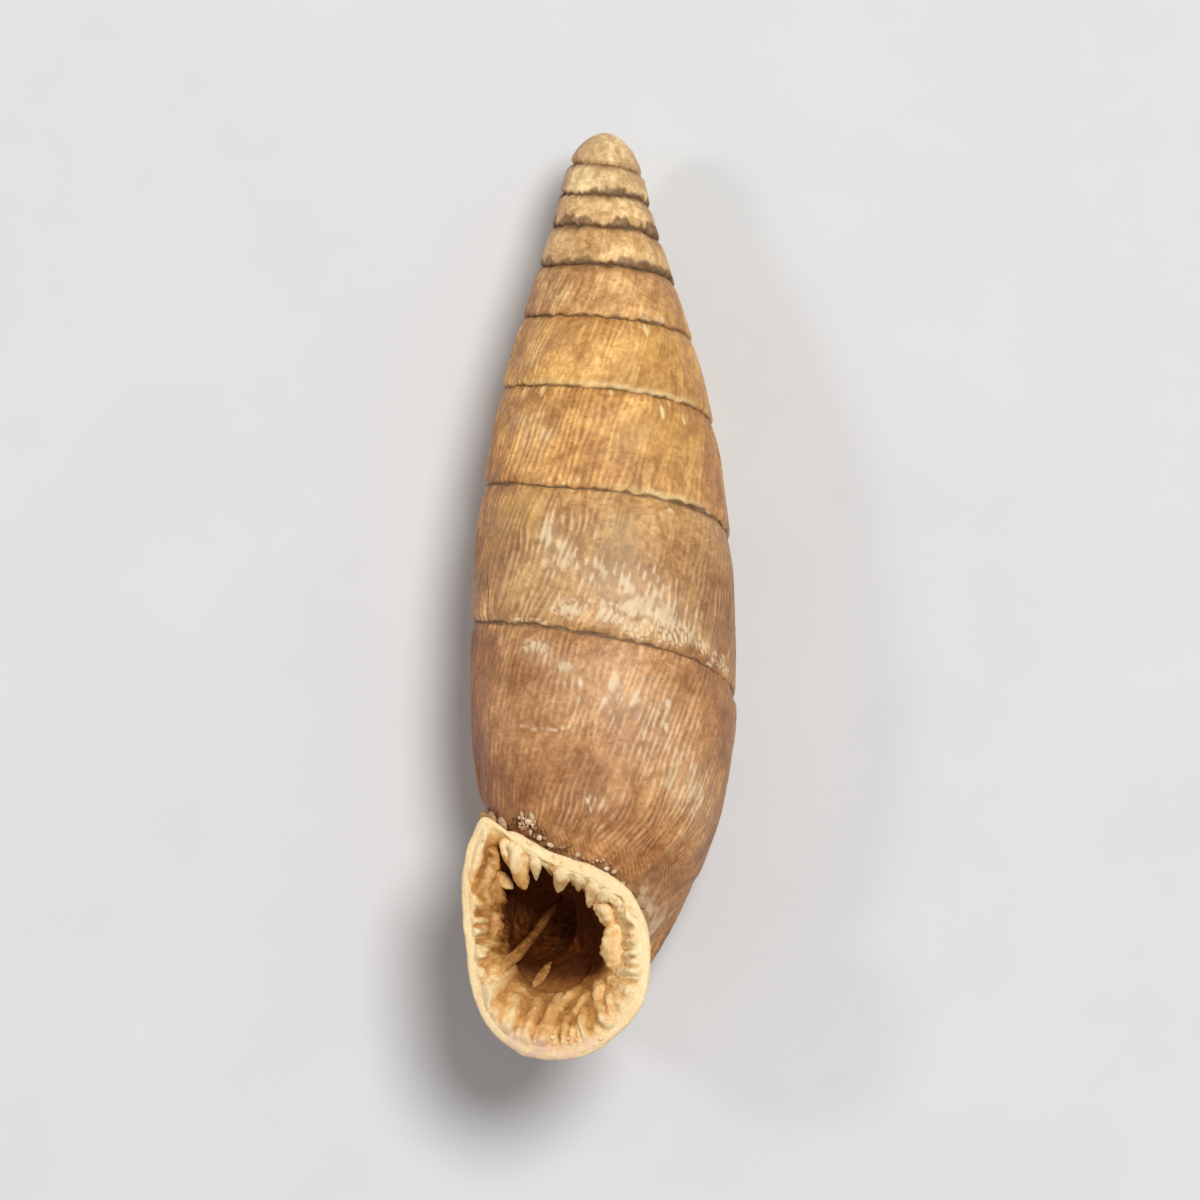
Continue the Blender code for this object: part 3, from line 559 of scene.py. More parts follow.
# rings from, to, how many, and whether the last of them counts
MOUTH_SPANS = ((0, 3.6, 29, False), (3.6, 7.3, 85, False), (7.3, 16, 38, True))
LOBE_GRID = (40, 22)  # faces along, around
LOBE_LUMPS = (("lobe", 1.25), ("lobe grain", 0.5625))  # so that no two lobes have the same, mm

# --- Light and camera ---
# (name, direction, distance in m, size in m, power in W)
LIGHTS = (
    ("key", (0.25, 0.20, 1.0), 0.32, 0.12, 0.80),
    ("gloss", (-0.95, 0.15, 1.0), 0.32, 0.05, 0.14),
)
WORLD = 0.26
FLOOR_HALF = 0.6  # m
LENS = 600.0
SENSOR = 36.0
CLIP = (0.01, 5)  # m
FRAME_HEIGHT = 20.71  # mm
CAMERA_ELEVATION = 83.5


# --- Curves, as on the solid ---
def hermite(start, end, slope_in, slope_out, u):
    """The value at a share u of the way from start to end, with these slopes there."""
    return (
        start * (1 + 2 * u) * (1 - u) ** 2
        + end * u * u * (3 - 2 * u)
        + slope_in * u * (1 - u) ** 2
        - slope_out * u * u * (1 - u)
    )


def smooth_curve(points, at):
    """A smooth curve through points of (x, y), read at the values in at."""
    x, y = np.array(points, float).T
    slope = np.gradient(y, x)
    at = np.clip(at, x[0], x[-1])
    i = np.clip(np.searchsorted(x, at, side="right") - 1, 0, len(x) - 2)
    step = x[i + 1] - x[i]
    return hermite(y[i], y[i + 1], slope[i] * step, slope[i + 1] * step, (at - x[i]) / step)


def smooth_table(rows, at):
    """The columns after the first of a table, each read as a smooth curve of the first."""
    return [smooth_curve([(row[0], row[k]) for row in rows], at) for k in range(1, len(rows[0]))]


def ease(x):
    """0 below 0, 1 above 1 and smooth in between."""
    x = np.clip(x, 0, 1)
    return x * x * (3 - 2 * x)


def over(x, edge):
    """0 before an edge of EDGES, 1 past it and smooth in between."""
    start, length = EDGES[edge]
    return ease((x - start) / length)


def until(x, edge):
    """1 before an edge of EDGES and 0 past it."""
    return 1 - over(x, edge)


def bell(x):
    return np.exp(-(x**2))


def suture_depth(turn):
    """Depth of the suture. Past its end, a line that winds down to the base in one turn."""
    wound = np.clip(turn, 0, LAST_TURN)
    coil = PITCH_FIRST * wound + PITCH_GROWTH * wound**PITCH_POWER
    return coil + (BASE_DEPTH - coil) * np.clip(turn - LAST_TURN, 0, 1)


def spindle(depth):
    """Radius of the spindle at a depth."""
    squares = [(d, r * r) for d, r in SPINDLE]
    return np.sqrt(np.maximum(smooth_curve(squares, depth), 0))


def place(turn, radius, depth):
    """Points from turn, radius and depth, as an array of (x, y, z)."""
    angle = math.pi + 2 * math.pi * (turn - LAST_TURN)
    x = radius * np.cos(angle)
    y = radius * np.sin(angle)
    return np.stack(np.broadcast_arrays(x, y, LEAN * x - depth), axis=-1)


def suture_inset(turn):
    """How deep the suture is cut at a turn."""
    inset = INSET_FIRST + (INSET_LAST - INSET_FIRST) * np.clip(turn, 0, LAST_TURN) / LAST_TURN
    return inset * ease(turn) * until(turn, "suture end")


def tuck(turn, depth):
    """How fully the body draws in where the neck lies over it, from 0 to 1."""
    part = turn % 1
    behind = ease((part - 0.5) / TUCK_TURNS)
    after = np.where(turn >= LAST_TURN, 1 - ease(part / TUCK_TURNS), 0)
    covered = np.where(part >= 0.5, behind, after)
    seam = suture_depth(np.where(part >= 0.5, LAST_TURN - 1 + part, LAST_TURN))
    return np.where(turn >= NECK_OUT, covered * ease((depth - seam) / TUCK_DROP), 0)


def body_outline(turn, depth):
    """Radius of the coiled body at a depth below the suture of a turn."""
    top = suture_depth(turn)
    share = (depth - top) / (BASE_DEPTH - top)
    return spindle(depth) - suture_inset(turn) * (1 - ease(share / SHOULDER_SHARE))


def neck_section(turn, quarter):
    """(radius, depth) round the neck: quarter 0 is at the suture, 1 outside, 2 at the base."""
    wide, wide_depth, base_radius, base_depth, fullness = smooth_table(NECK_SECTIONS, turn)
    sunk = NECK_SINK * np.clip((NECK_OUT - turn) / (NECK_OUT - NECK_START), 0, 1)
    wide = wide - sunk
    up = wide_depth - suture_depth(turn) - sunk
    down = base_depth - sunk - wide_depth
    roof = ROOF_SHARE * wide
    swing = (quarter % 1) * math.pi / 2
    s = np.maximum(np.sin(swing), 0)
    c = np.maximum(np.cos(swing), 0)
    square, full = 2 / SHOULDER_FULLNESS, 2 / fullness
    step = np.floor(quarter) % 4
    choose = [step == number for number in range(4)]
    radius = np.select(choose, [
        roof + (wide - roof) * s**square,
        base_radius + (wide - base_radius) * c**full,
        base_radius - (base_radius - NECK_INNER) * s,
        roof - (roof - NECK_INNER) * c,
    ])
    depth = wide_depth + np.select(
        choose, [-up * c**square, down * s**full, down * c, -up * s])
    coiled = np.maximum(body_outline(turn, depth) - sunk, radius)
    like_body = (1 - ease((turn - NECK_OUT) / NECK_OWN_SHAPE)) * (step < 2)
    return radius + (coiled - radius) * like_body, depth


def mouth_frame():
    """The mouth's right, up and forward directions."""
    right = np.array([math.cos(MOUTH_TURNED), -math.sin(MOUTH_TURNED), 0])
    up = np.array([0, 0, 1])
    return right, up, np.cross(right, up)


def mouth_place(angle, radius, forward):
    """Points from an angle in degrees from the right, a radius and a distance forward, mm."""
    right, up, out = mouth_frame()
    angle, radius, forward = np.broadcast_arrays(np.radians(angle), radius, forward)
    return (
        np.array(MOUTH_CENTRE)
        + np.multiply.outer(radius * np.cos(angle), right)
        + np.multiply.outer(radius * np.sin(angle), up)
        + np.multiply.outer(forward, out)
    )


def lip_radius(angle):
    return smooth_curve(LIP_EDGE, angle % 360)


def mouth_angle(across):
    """Direction of a column round the mouth, in degrees from the right."""
    turned = (CORNER_ANGLE, 180, 270, 360, 360 + CORNER_ANGLE)
    return np.interp(across, np.linspace(0, 1, len(turned)), turned)


# --- Noise ---
def lattice(i, j, k, seed):
    """A fixed value from 0 to 1 for each whole point."""
    mixed = (i * 73856093) ^ (j * 19349663) ^ (k * 83492791) ^ ((seed + SEED) * 50331653)
    mixed = (mixed ^ (mixed >> 13)) & 0xFFFFFFFF
    mixed = (mixed * 1274126177) & 0xFFFFFFFF
    return ((mixed ^ (mixed >> 16)) & 0xFFFF) / 0xFFFF


def noise(x, y, z, seed):
    """Smooth noise from 0 to 1."""
    whole = [np.floor(v).astype(np.int64) for v in np.broadcast_arrays(x, y, z)]
    part = [ease(v - w) for v, w in zip((x, y, z), whole)]
    total = 0
    for corner in np.ndindex(2, 2, 2):
        weight = 1
        for step, p in zip(corner, part):
            weight = weight * (p if step else 1 - p)
        total = total + weight * lattice(*(w + step for w, step in zip(whole, corner)), seed)
    return total


def uneven(kind, x, y=0.0, z=0.0):
    """One of the kinds of UNEVEN at a place, from 0 to 1, with finer noise on it."""
    *fineness, seed, octaves = UNEVEN[kind]
    x, y, z = (value * fine for value, fine in zip((x, y, z), fineness))
    total, size = 0, 0
    for octave in range(octaves):
        strength = 0.5**octave
        total = total + strength * noise(x * 2**octave, y * 2**octave, z * 2**octave, seed + octave)
        size += strength
    return total / size


def cells(x, y, seed):
    """How far a point lies inside a cell of an uneven net of cells about 1 across."""
    column, row = np.floor(x).astype(np.int64), np.floor(y).astype(np.int64)
    nearest, next_one = FAR, FAR
    for i in (-1, 0, 1):
        for j in (-1, 0, 1):
            c, r = column + i, row + j
            away = np.hypot(
                x - c - lattice(c, r, 0 * c, seed), y - r - lattice(c, r, 0 * c, seed + 1))
            next_one = np.minimum(next_one, np.maximum(nearest, away))
            nearest = np.minimum(nearest, away)
    return next_one - nearest


def beside_line(x, y, ends):
    """Distance of points from a line through several places, and the share of its length."""
    nearest, share = np.full(np.shape(x), np.inf), np.zeros(np.shape(x))
    for number, (a, b) in enumerate(zip(ends[:-1], ends[1:])):
        dx, dy = b[0] - a[0], b[1] - a[1]
        along = np.clip(((x - a[0]) * dx + (y - a[1]) * dy) / (dx * dx + dy * dy), 0, 1)
        away = np.hypot(x - a[0] - along * dx, y - a[1] - along * dy)
        share = np.where(away < nearest, (number + along) / (len(ends) - 1), share)
        nearest = np.minimum(nearest, away)
    return nearest, share


# --- Surface of the whorls ---
def patches(turn, share, kind):
    """How strongly a place lies in any of a kind of patch."""
    total = 0
    for at_turn, at_share, long, high, strength in np.array(PATCHES[kind]) / 100:
        total = total + strength * bell((turn - at_turn) / long) * bell((share - at_share) / high)
    return total


def strokes(rows, turn, share, sway):
    """How strongly fine lines cross a place."""
    found = 0
    for a_turn, a_share, b_turn, b_share, half, strength in np.array(rows) / 100:
        height = np.interp(a_turn, np.arange(10), np.diff(suture_depth(np.arange(11.0))))
        around = 2 * math.pi * spindle(suture_depth(a_turn + 0.5))
        near, _ = beside_line(
            (turn - a_turn) * around + STROKE_SWAY * sway, (share - a_share) * height,
            ((0, 0), ((b_turn - a_turn) * around, (b_share - a_share) * height)))
        found = np.maximum(found, strength * bell(near / half))
    return found


def seam_dirt(turn, share, drop, rise, fine, grainy):
    """The dirt in and above the sutures, the stain below them and the pale hems above them."""
    rise = rise + SEAM_FRAY * (uneven("fray above", turn) - 0.5)
    drop = np.maximum(drop + SEAM_FRAY * (uneven("fray below", turn) - 0.5), 0)
    early = over(turn, "scallops") * until(turn, "scallops end")
    scallop = 0.6 * uneven("scallop", turn) + 0.4 * uneven("nick", turn)
    wide = 0.25 + 0.75 * uneven("scallop reach", turn)
    reach = SCALLOP_LEAST + SCALLOP_HEIGHT * wide * over(scallop, "scallop")
    above = early * ease((reach - rise) / SCALLOP_EDGE + 0.5) * (0.60 + 0.5 * grainy)
    thick = 0.55 + 0.75 * uneven("thick", turn)
    line = bell(rise / (SEAM_ABOVE[0] + SEAM_ABOVE[1] * thick)) + bell(
        drop / ((SEAM_BELOW[0] + SEAM_BELOW[1] * thick) * (1 + SEAM_UPPER * early)))
    there = over(turn, "dirt") * until(turn, "dirt end")
    dirt = above + np.clip(line * thick, 0, 1) * there
    late = 1 - STAIN_LATE * over(turn, "late")
    stain = bell(drop / STAIN_DROP) * there * late * (0.35 + 0.9 * uneven("stain", turn))
    hem = bell(rise / HEM_RISE - 1) * patches(turn, share, "hems") * (0.5 + 0.7 * fine)
    return dirt, stain, hem


def surface(turn, drop, depth, share, rise):
    """Relief in mm, inward, and the masks of the whorls' surface.

    Turn is that of the whorl's own suture, and drop the distance below it. Rise is the
    distance above the next suture.
    """
    girth = 2 * math.pi * np.maximum(spindle(np.minimum(depth, WIDEST_DEPTH)), THINNEST)
    low = np.maximum(depth - LEAN_LOW_DEPTH, 0)
    leaned = turn + (RIB_LEAN * drop + RIB_LEAN_LOW * low**2 / 2) / girth
    ribs = (
        RIBS_FIRST * leaned + RIBS_MORE * leaned**2
        + RIB_SWAY * (uneven("sway", leaned, drop) - 0.5)
        + RIB_JITTER * (uneven("jitter", leaned, drop) - 0.5))
    which = np.floor(ribs + 0.5).astype(np.int64)
    own = RIB_LEAST + (1 - RIB_LEAST) * lattice(which, 0 * which, 0 * which, 2)
    wave = 0.5 + 0.5 * np.cos(2 * math.pi * ribs)
    broken = np.clip((uneven("broken", ribs, drop) - 0.30) * 2.6, 0.06, 1)
    crest = wave**RIB_SHARP * own * broken
    lateral = (turn + 0.5) % 1 - 0.5
    everywhere, where_fresh, on_left = RIB_STRENGTH
    strong = np.minimum(
        everywhere + where_fresh * over(uneven("wear", turn, depth), "wear")
        + on_left * bell((lateral - LEFT[0]) / LEFT[1]), 1)
    full = over(turn, "ribs")
    plain = 1 - SMOOTHED * np.clip(patches(turn, share, "smooth"), 0, 1)
    streak = uneven("streak", ribs, drop)
    fine = uneven("fine", ribs, drop)
    cloud = uneven("cloud", turn, depth)
    wrinkle = uneven("wrinkle", leaned, drop)
    grainy = uneven("grainy", turn * girth, depth)

    pebble = over(cells(turn * girth / PEBBLE_SIZE[0], depth / PEBBLE_SIZE[1], 16), "pebble")
    bead = over(cells(ribs, drop / BEAD_LENGTH, 18), "bead")
    pebbly = np.clip(patches(turn, share, "pebbles"), 0, 1) * (0.5 + fine)
    beaded = np.clip(patches(turn, share, "beads"), 0, 1) * (0.6 + 0.8 * streak)
    puffed = np.maximum(pebble * over(pebbly, "pebbly"), bead * over(beaded, "beaded"))
    dark_line = strokes(DARK_STROKES, turn, share, fine - 0.5)
    near_seam = over(drop, "crest below") * over(rise, "crest above")
    relief = (
        RIB_HEIGHT * full * (1 - crest * near_seam * strong)
        + WRINKLE_HEIGHT * (1 - wrinkle) * (0.5 + 0.5 * full)
        + PIT_HEIGHT * (1 - grainy)
        + PUFF_HEIGHT * (1 - puffed)
        + STROKE_DEPTH * dark_line
    )

    dashes = wave**2 * (0.4 + 0.6 * own) * over(uneven("dashes", ribs, drop), "dashes")
    shreds = uneven("shreds", ribs, drop)
    # pale patches: partly worn pale shell, partly a painted silky highlight
    area = np.clip(patches(turn, share, "pale"), 0, 1.2) ** 0.6
    pale = 0.26 * area**2 + 0.85 * over(area * (0.55 * dashes + 1.2 * shreds), "shreds")
    tick, spot = (
        over(patches(turn, share, kind) * (0.7 + 0.6 * fine), "marks")
        for kind in ("ticks", "spots"))
    pale_line = strokes(PALE_STROKES, turn, share, fine - 0.5)
    pale = np.maximum.reduce([pale * (0.75 + 0.25 * puffed), puffed, spot, pale_line])
    dirt, stain, hem = seam_dirt(turn, share, drop, rise, fine, grainy)
    dirt = dirt + patches(turn, share, "dark") * (0.4 + 0.9 * fine + 0.3 * grainy)
    worn = 0.55 * streak + 0.35 * fine + 0.2 * wrinkle - 0.55
    masks = {
        "pale": pale,
        "gold": patches(turn, share, "gold") * (0.3 + 0.9 * streak),
        "olive": patches(turn, share, "olive") * (0.45 + 0.8 * cloud),
        # brown patches, partly painted shade of the whorls' sides
        "brown_and_side_shade": patches(turn, share, "brown_and_side_shade") * (0.6 + 0.7 * cloud),
        "stain": stain + dark_line,
        "dirt": dirt,
        "hem": hem + tick,
    }
    return relief, {kind: np.clip(mask, 0, 1) for kind, mask in masks.items()} | {
        "tone": turn + share * TONE_DRIFT,
        # crest and streak: pale rib tops and streaks, partly painted light and shade of the ribs,
        # stronger on the left
        "crest": crest * full * strong * plain + 0.2 * (1 - full * plain),
        "fresh": np.clip(patches(turn, share, "streaky"), 0, 1)
        * over(dashes + 0.6 * shreds, "fresh"),
        "streak": 0.5 + worn * (0.35 + 0.65 * full) * (0.4 + 0.6 * strong) * plain,
        "cloud": cloud,
        # rosy: painted cool light on the left side of each whorl
        "rosy": bell((lateral - ROSY_SIDE_LIGHT[0]) / ROSY_SIDE_LIGHT[1]),
    }


# --- Sheets ---
def lay_down(points):
    """From standing up, in mm, to lying on the flat of the back, in metres."""
    sin, cos = math.sin(PITCHED), math.cos(PITCHED)
    down = np.array([0, cos, sin])
    points = points - np.maximum(points @ down - GROUND, 0)[..., None] * down
    x, y, z = np.moveaxis(points, -1, 0)
    laid = np.stack([x, z * cos - y * sin, GROUND - y * cos - z * sin], axis=-1)
    return (laid + OFFSET) * MM


def unit(vectors):
    return vectors / np.maximum(np.linalg.norm(vectors, axis=-1, keepdims=True), 1e-9)


def normals_of(points):
    """Unit normals of a grid of points, outward."""
    return unit(np.cross(np.gradient(points, axis=1), np.gradient(points, axis=0)))


def grid_faces(shape):
    index = np.arange(shape[0] * shape[1]).reshape(shape[:2])
    corners = (index[:-1, :-1], index[:-1, 1:], index[1:, 1:], index[1:, :-1])
    return np.stack(corners, axis=-1).reshape(-1, 4)


def linked(name, data):
    """A new object in the scene."""
    made = bpy.data.objects.new(name, data)
    bpy.context.scene.collection.objects.link(made)
    return made


def dress(name, mesh, material):
    """A smooth-shaded mesh as a piece of the shell."""
    mesh.shade_smooth()
    mesh.materials.append(material)
    piece = linked(name, mesh)
    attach(piece, "root")
    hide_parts("shell")


def sheet_piece(name, points, faces, masks, material):
    """A piece from a grid of points, with its masks as attributes."""
    used, faces = np.unique(faces, return_inverse=True)
    faces = faces.reshape(-1, 4)
    mesh = bpy.data.meshes.new(name)
    mesh.vertices.add(len(used))
    mesh.vertices.foreach_set("co", lay_down(points.reshape(-1, 3)[used]).ravel())
    mesh.loops.add(faces.size)
    mesh.loops.foreach_set("vertex_index", faces.ravel())
    mesh.polygons.add(len(faces))
    mesh.polygons.foreach_set("loop_start", np.arange(0, faces.size, 4))
    mesh.update(calc_edges=True)
    for mask, values in masks.items():
        layer = mesh.attributes.new(mask, "FLOAT", "POINT")
        values = np.broadcast_to(values, points.shape[:-1]).ravel()[used]
        layer.data.foreach_set("value", values.astype(np.float32))
    welded = bmesh.new()
    welded.from_mesh(mesh)
    bmesh.ops.remove_doubles(welded, verts=welded.verts, dist=WELD)
    bmesh.ops.dissolve_degenerate(welded, dist=WELD, edges=welded.edges)
    welded.to_mesh(mesh)
    welded.free()
    dress(name, mesh, material)


def centres(points, faces):
    return points.reshape(-1, 3)[faces].mean(axis=1)


class Space:
    """A closed space made of rings, which can tell whether a point is inside it."""

    def __init__(self, rings):
        rings = np.array(rings)
        count, around = rings.shape[:2]
        index = np.arange(count * around).reshape(count, around)
        after = np.roll(index, -1, axis=1)
        sides = np.stack([index[:-1], after[:-1], after[1:], index[1:]], axis=-1).reshape(-1, 4)
        caps = [list(map(int, index[0])), list(map(int, index[-1]))]
        self.tree = BVHTree.FromPolygons(
            rings.reshape(-1, 3).tolist(), sides.tolist() + caps, epsilon=0.0)
        self.low = rings.min(axis=(0, 1))
        self.high = rings.max(axis=(0, 1))

    def holds(self, points):
        """Which points are inside: those with an odd number of walls on one side of them."""
        inside = np.all((points > self.low) & (points < self.high), axis=1)
        for i in np.flatnonzero(inside):
            start = Vector(points[i])
            inside[i] = False
            while hit := self.tree.ray_cast(start, RAY)[0]:
                inside[i] = not inside[i]
                start = hit + RAY * RAY_STEP
        return inside


def mouth_rings(angle, rows):
    """Rings of the mouth, as rows of LIP_RINGS give them."""
    edge, throat = lip_radius(angle), smooth_curve(THROAT, angle % 360)
    return [
        mouth_place(angle, edge - inward - (edge - throat) * share, forward)
        for share, inward, forward in rows
    ]


def ring_angles(count):
    return mouth_angle(np.arange(count) / count)


def key_rings(angle):
    """The mouth's rings, from behind the lip over its edge to the throat and the hollow."""
    rings = mouth_rings(angle, LIP_RINGS)
    throat = smooth_curve(THROAT, angle % 360)
    rings.append(mouth_place(angle, THROAT_SHARE * throat, THROAT_BACK))
    swing = np.radians(angle)
    for turn in TUNNEL_TURNS:
        centre, depth, wide, high = smooth_table(HOLLOW, turn)
        rings.append(place(turn, centre - wide * np.cos(swing), depth - high * np.sin(swing)))
    return np.array(rings)


def throat_sheet(angle, at):
    """Points on smooth curves through the mouth's rings, at positions counted in rings."""
    keys = key_rings(angle)
    slope = np.gradient(keys, axis=0)
    i = np.clip(np.floor(at).astype(int), 0, len(keys) - 2)
    points = hermite(keys[i], keys[i + 1], slope[i], slope[i + 1], (at - i)[:, None, None])
    much, direction, wide, ring, long = DRAWN_IN
    off = (angle - direction + 180) % 360 - 180
    inward = unit(points.mean(axis=1, keepdims=True) - points)
    share = bell(off / wide)[None, :] * bell((at - ring) / long)[:, None]
    return points + inward * (much * share)[..., None]


def tunnel_space(room):
    """The throat and the hollow behind it, that much wider."""
    at = np.linspace(TUNNEL_START, len(LIP_RINGS) + len(TUNNEL_TURNS), 60)
    rings = throat_sheet(ring_angles(68), at)
    middle = rings.mean(axis=1, keepdims=True)
    return Space(middle + room * (rings - middle))


def row_shares(rows):
    """Rows of a whorl, closer together near its two sutures."""
    edge = rows // 6
    return np.concatenate([
        np.linspace(0, 0.07, edge + 1)[:-1],
        np.linspace(0.07, 0.94, rows - 2 * edge + 1)[:-1],
        np.linspace(0.94, 1, edge + 1),
    ])


def seam_depth(turn):
    """Depth of the suture with its small unevenness."""
    return suture_depth(turn) + over(turn, "wander") * until(turn, "wander end") * (
        SEAM_WANDER * (uneven("seam wander", turn) - 0.5)
        + SEAM_RAGGED * (uneven("seam ragged", turn) - 0.5)
    )


def on_mouth_plane(points):
    """How far points lie to the right of the mouth's centre, above it and forward of it."""
    away = points - np.array(MOUTH_CENTRE)
    return [away @ direction for direction in mouth_frame()]


def beside_lip(points, zone, kind):
    """(direction from the mouth's centre, distance past the lip, share inside the zone)."""
    _, first, last, lowest = zone
    across, up, forward = on_mouth_plane(points)
    angle = np.degrees(np.arctan2(up, across))
    there = over(angle - first, kind + " from") * over(last - angle, kind + " to")
    return angle, np.hypot(across, up) - lip_radius(angle), there * (forward > lowest)


def lip_stain(points):
    """The dirt on the whorls along the lip's upper edge."""
    angle, gap, there = beside_lip(points, LIP_STAIN, "stain")
    gap = gap - LIP_STAIN_PAST + LIP_STAIN_SWAY * (uneven("lip gap", angle) - 0.5)
    stain = bell(np.maximum(gap, 0) / LIP_STAIN[0]) * there
    return np.clip(stain * (0.35 + 0.9 * uneven("lip stain", angle)), 0, 1)


def add_crust(masks, points):
    """Lays the pale crust on the whorls and the neck beside the lip's right edge."""
    _, gap, there = beside_lip(points, LIP_CRUST, "crust")
    lumps = (uneven("crust", *on_mouth_plane(points)) - CRUST_LUMPS[0]) / CRUST_LUMPS[1]
    crust = bell(np.maximum(gap, 0) / LIP_CRUST[0]) * there * np.clip(lumps, 0, 1)
    masks["pale"] = np.maximum(masks["pale"], CRUST_STRENGTH * crust)


def whorl_piece(name, first, last, per_turn, rows, room, material, cleared):
    """Whorls between two turns, without what lies in the mouth or under the neck."""
    turn = np.linspace(first, last, int(round((last - first) * per_turn)) + 1)[:, None]
    share = row_shares(rows)[None, :]
    top, bottom = seam_depth(turn), seam_depth(turn + 1)
    depth = top + (bottom - top) * share
    radius = spindle(depth)
    hem = ROUND_HEM[0] + (ROUND_HEM[1] - ROUND_HEM[0]) * ease(turn / ROUND_HEM_TURN)
    inset = (
        suture_inset(turn) * np.maximum(1 - share / SHOULDER_SHARE, 0) ** SUTURE_POWER
        + suture_inset(turn + 1) * np.maximum((share - 1 + hem) / hem, 0) ** SUTURE_POWER)
    tucked = tuck(turn, depth)
    inset = np.minimum(inset, radius / 2) + np.minimum(TUCK, TUCK_SHARE * radius) * tucked
    whorl = np.where(turn > LAST_TURN, turn - 1, turn)
    whorl_top, whorl_bottom = suture_depth(whorl), suture_depth(whorl + 1)
    drop = depth - whorl_top
    relief, masks = surface(
        whorl, np.maximum(drop, 0), depth,
        drop / np.maximum(whorl_bottom - whorl_top, THINNEST),
        np.where(turn + 1 > LAST_TURN, FAR, bottom - depth))
    points = place(turn, radius - inset - relief * over(radius, "tip"), depth)
    masks["dirt"] = np.maximum(masks["dirt"], lip_stain(points))
    add_crust(masks, points)
    faces = grid_faces(points.shape)
    middle = centres(points, faces)
    hidden = tucked > TUCKED
    hidden = hidden[:-1, :-1] & hidden[1:, 1:] & (turn[1:] < LAST_TURN + TUCK_END)
    keep = ~hidden.ravel() & ~cleared.holds(middle) & ~tunnel_space(room).holds(middle)
    sheet_piece(name, points, faces[keep], masks, material)


def neck_piece(name, coil_rows, mouth_rows, columns, material):
    """The neck, from within the last whorl to behind the lip."""
    across = np.linspace(0, 1, columns + 1)[None, :]
    ring = np.concatenate([
        np.linspace(0, 1, coil_rows + 1), 1 + np.linspace(0, 1, mouth_rows + 1)[1:]])[:, None]
    turn = NECK_START + (LAST_TURN - NECK_START) * np.clip(ring, 0, 1)
    reach = np.clip(ring - 1, 0, 1)
    radius, depth = neck_section(*np.broadcast_arrays(turn, (4 * across) % 4))
    start = place(turn, radius, depth)
    angle = mouth_angle(across)
    inward = FLARE + FLARE_MORE * until(reach, "flare")
    end = mouth_place(angle, lip_radius(angle) - inward, NECK_END)
    spread = 1 - (1 - reach**2) ** 2
    path = np.stack([spread, reach, spread], axis=-1)
    points = start * (1 - path) + end * path
    deep = LEAN * points[..., 0] - points[..., 2]
    whorl = turn + MOUTH_TURNS * reach
    top = suture_depth(np.minimum(whorl, LAST_TURN))
    drop = np.maximum(deep - top, 0)
    relief, masks = surface(whorl, drop, deep, drop / (suture_depth(turn + 1) - top), FAR)
    settled = over(ring, "neck") * until(reach, "neck end")
    points = points - normals_of(points) * (relief * settled)[..., None]
    add_crust(masks, points)
    least, thin, most = COLLAR_LEVELS
    spread_out = uneven("collar", *np.moveaxis(points, -1, 0)) - COLLAR_CLOUDS[0]
    masks["collar"] = over(reach, "collar") * np.clip(
        thin + COLLAR_CLOUDS[1] * spread_out, least, most)
    faces = grid_faces(points.shape)
    inner, buried = (
        np.broadcast_to(zone, points.shape[:2])[:-1, :-1].ravel()
        for zone in ((across > NECK_OUTSIDE) & (ring < 1), ring < NECK_BURIED))
    inside = inner & (buried | tunnel_space(TUNNEL_ROOM).holds(centres(points, faces)))
    sheet_piece(name, points, faces[~inside], masks, material)


def wall_tone(angle, ring):
    """How dark the mouth's wall is at a direction and a ring."""
    levels = np.array(smooth_table([(at, *np.array(row) / 100) for at, row in TONE_ROUND], angle))
    rings = np.array(TONE_RINGS)
    i = np.clip(np.searchsorted(rings, ring, side="right") - 1, 0, len(rings) - 2)
    part = np.clip((ring - rings[i]) / (rings[i + 1] - rings[i]), 0, 1)[:, None]
    return levels[i] * (1 - part) + levels[i + 1] * part


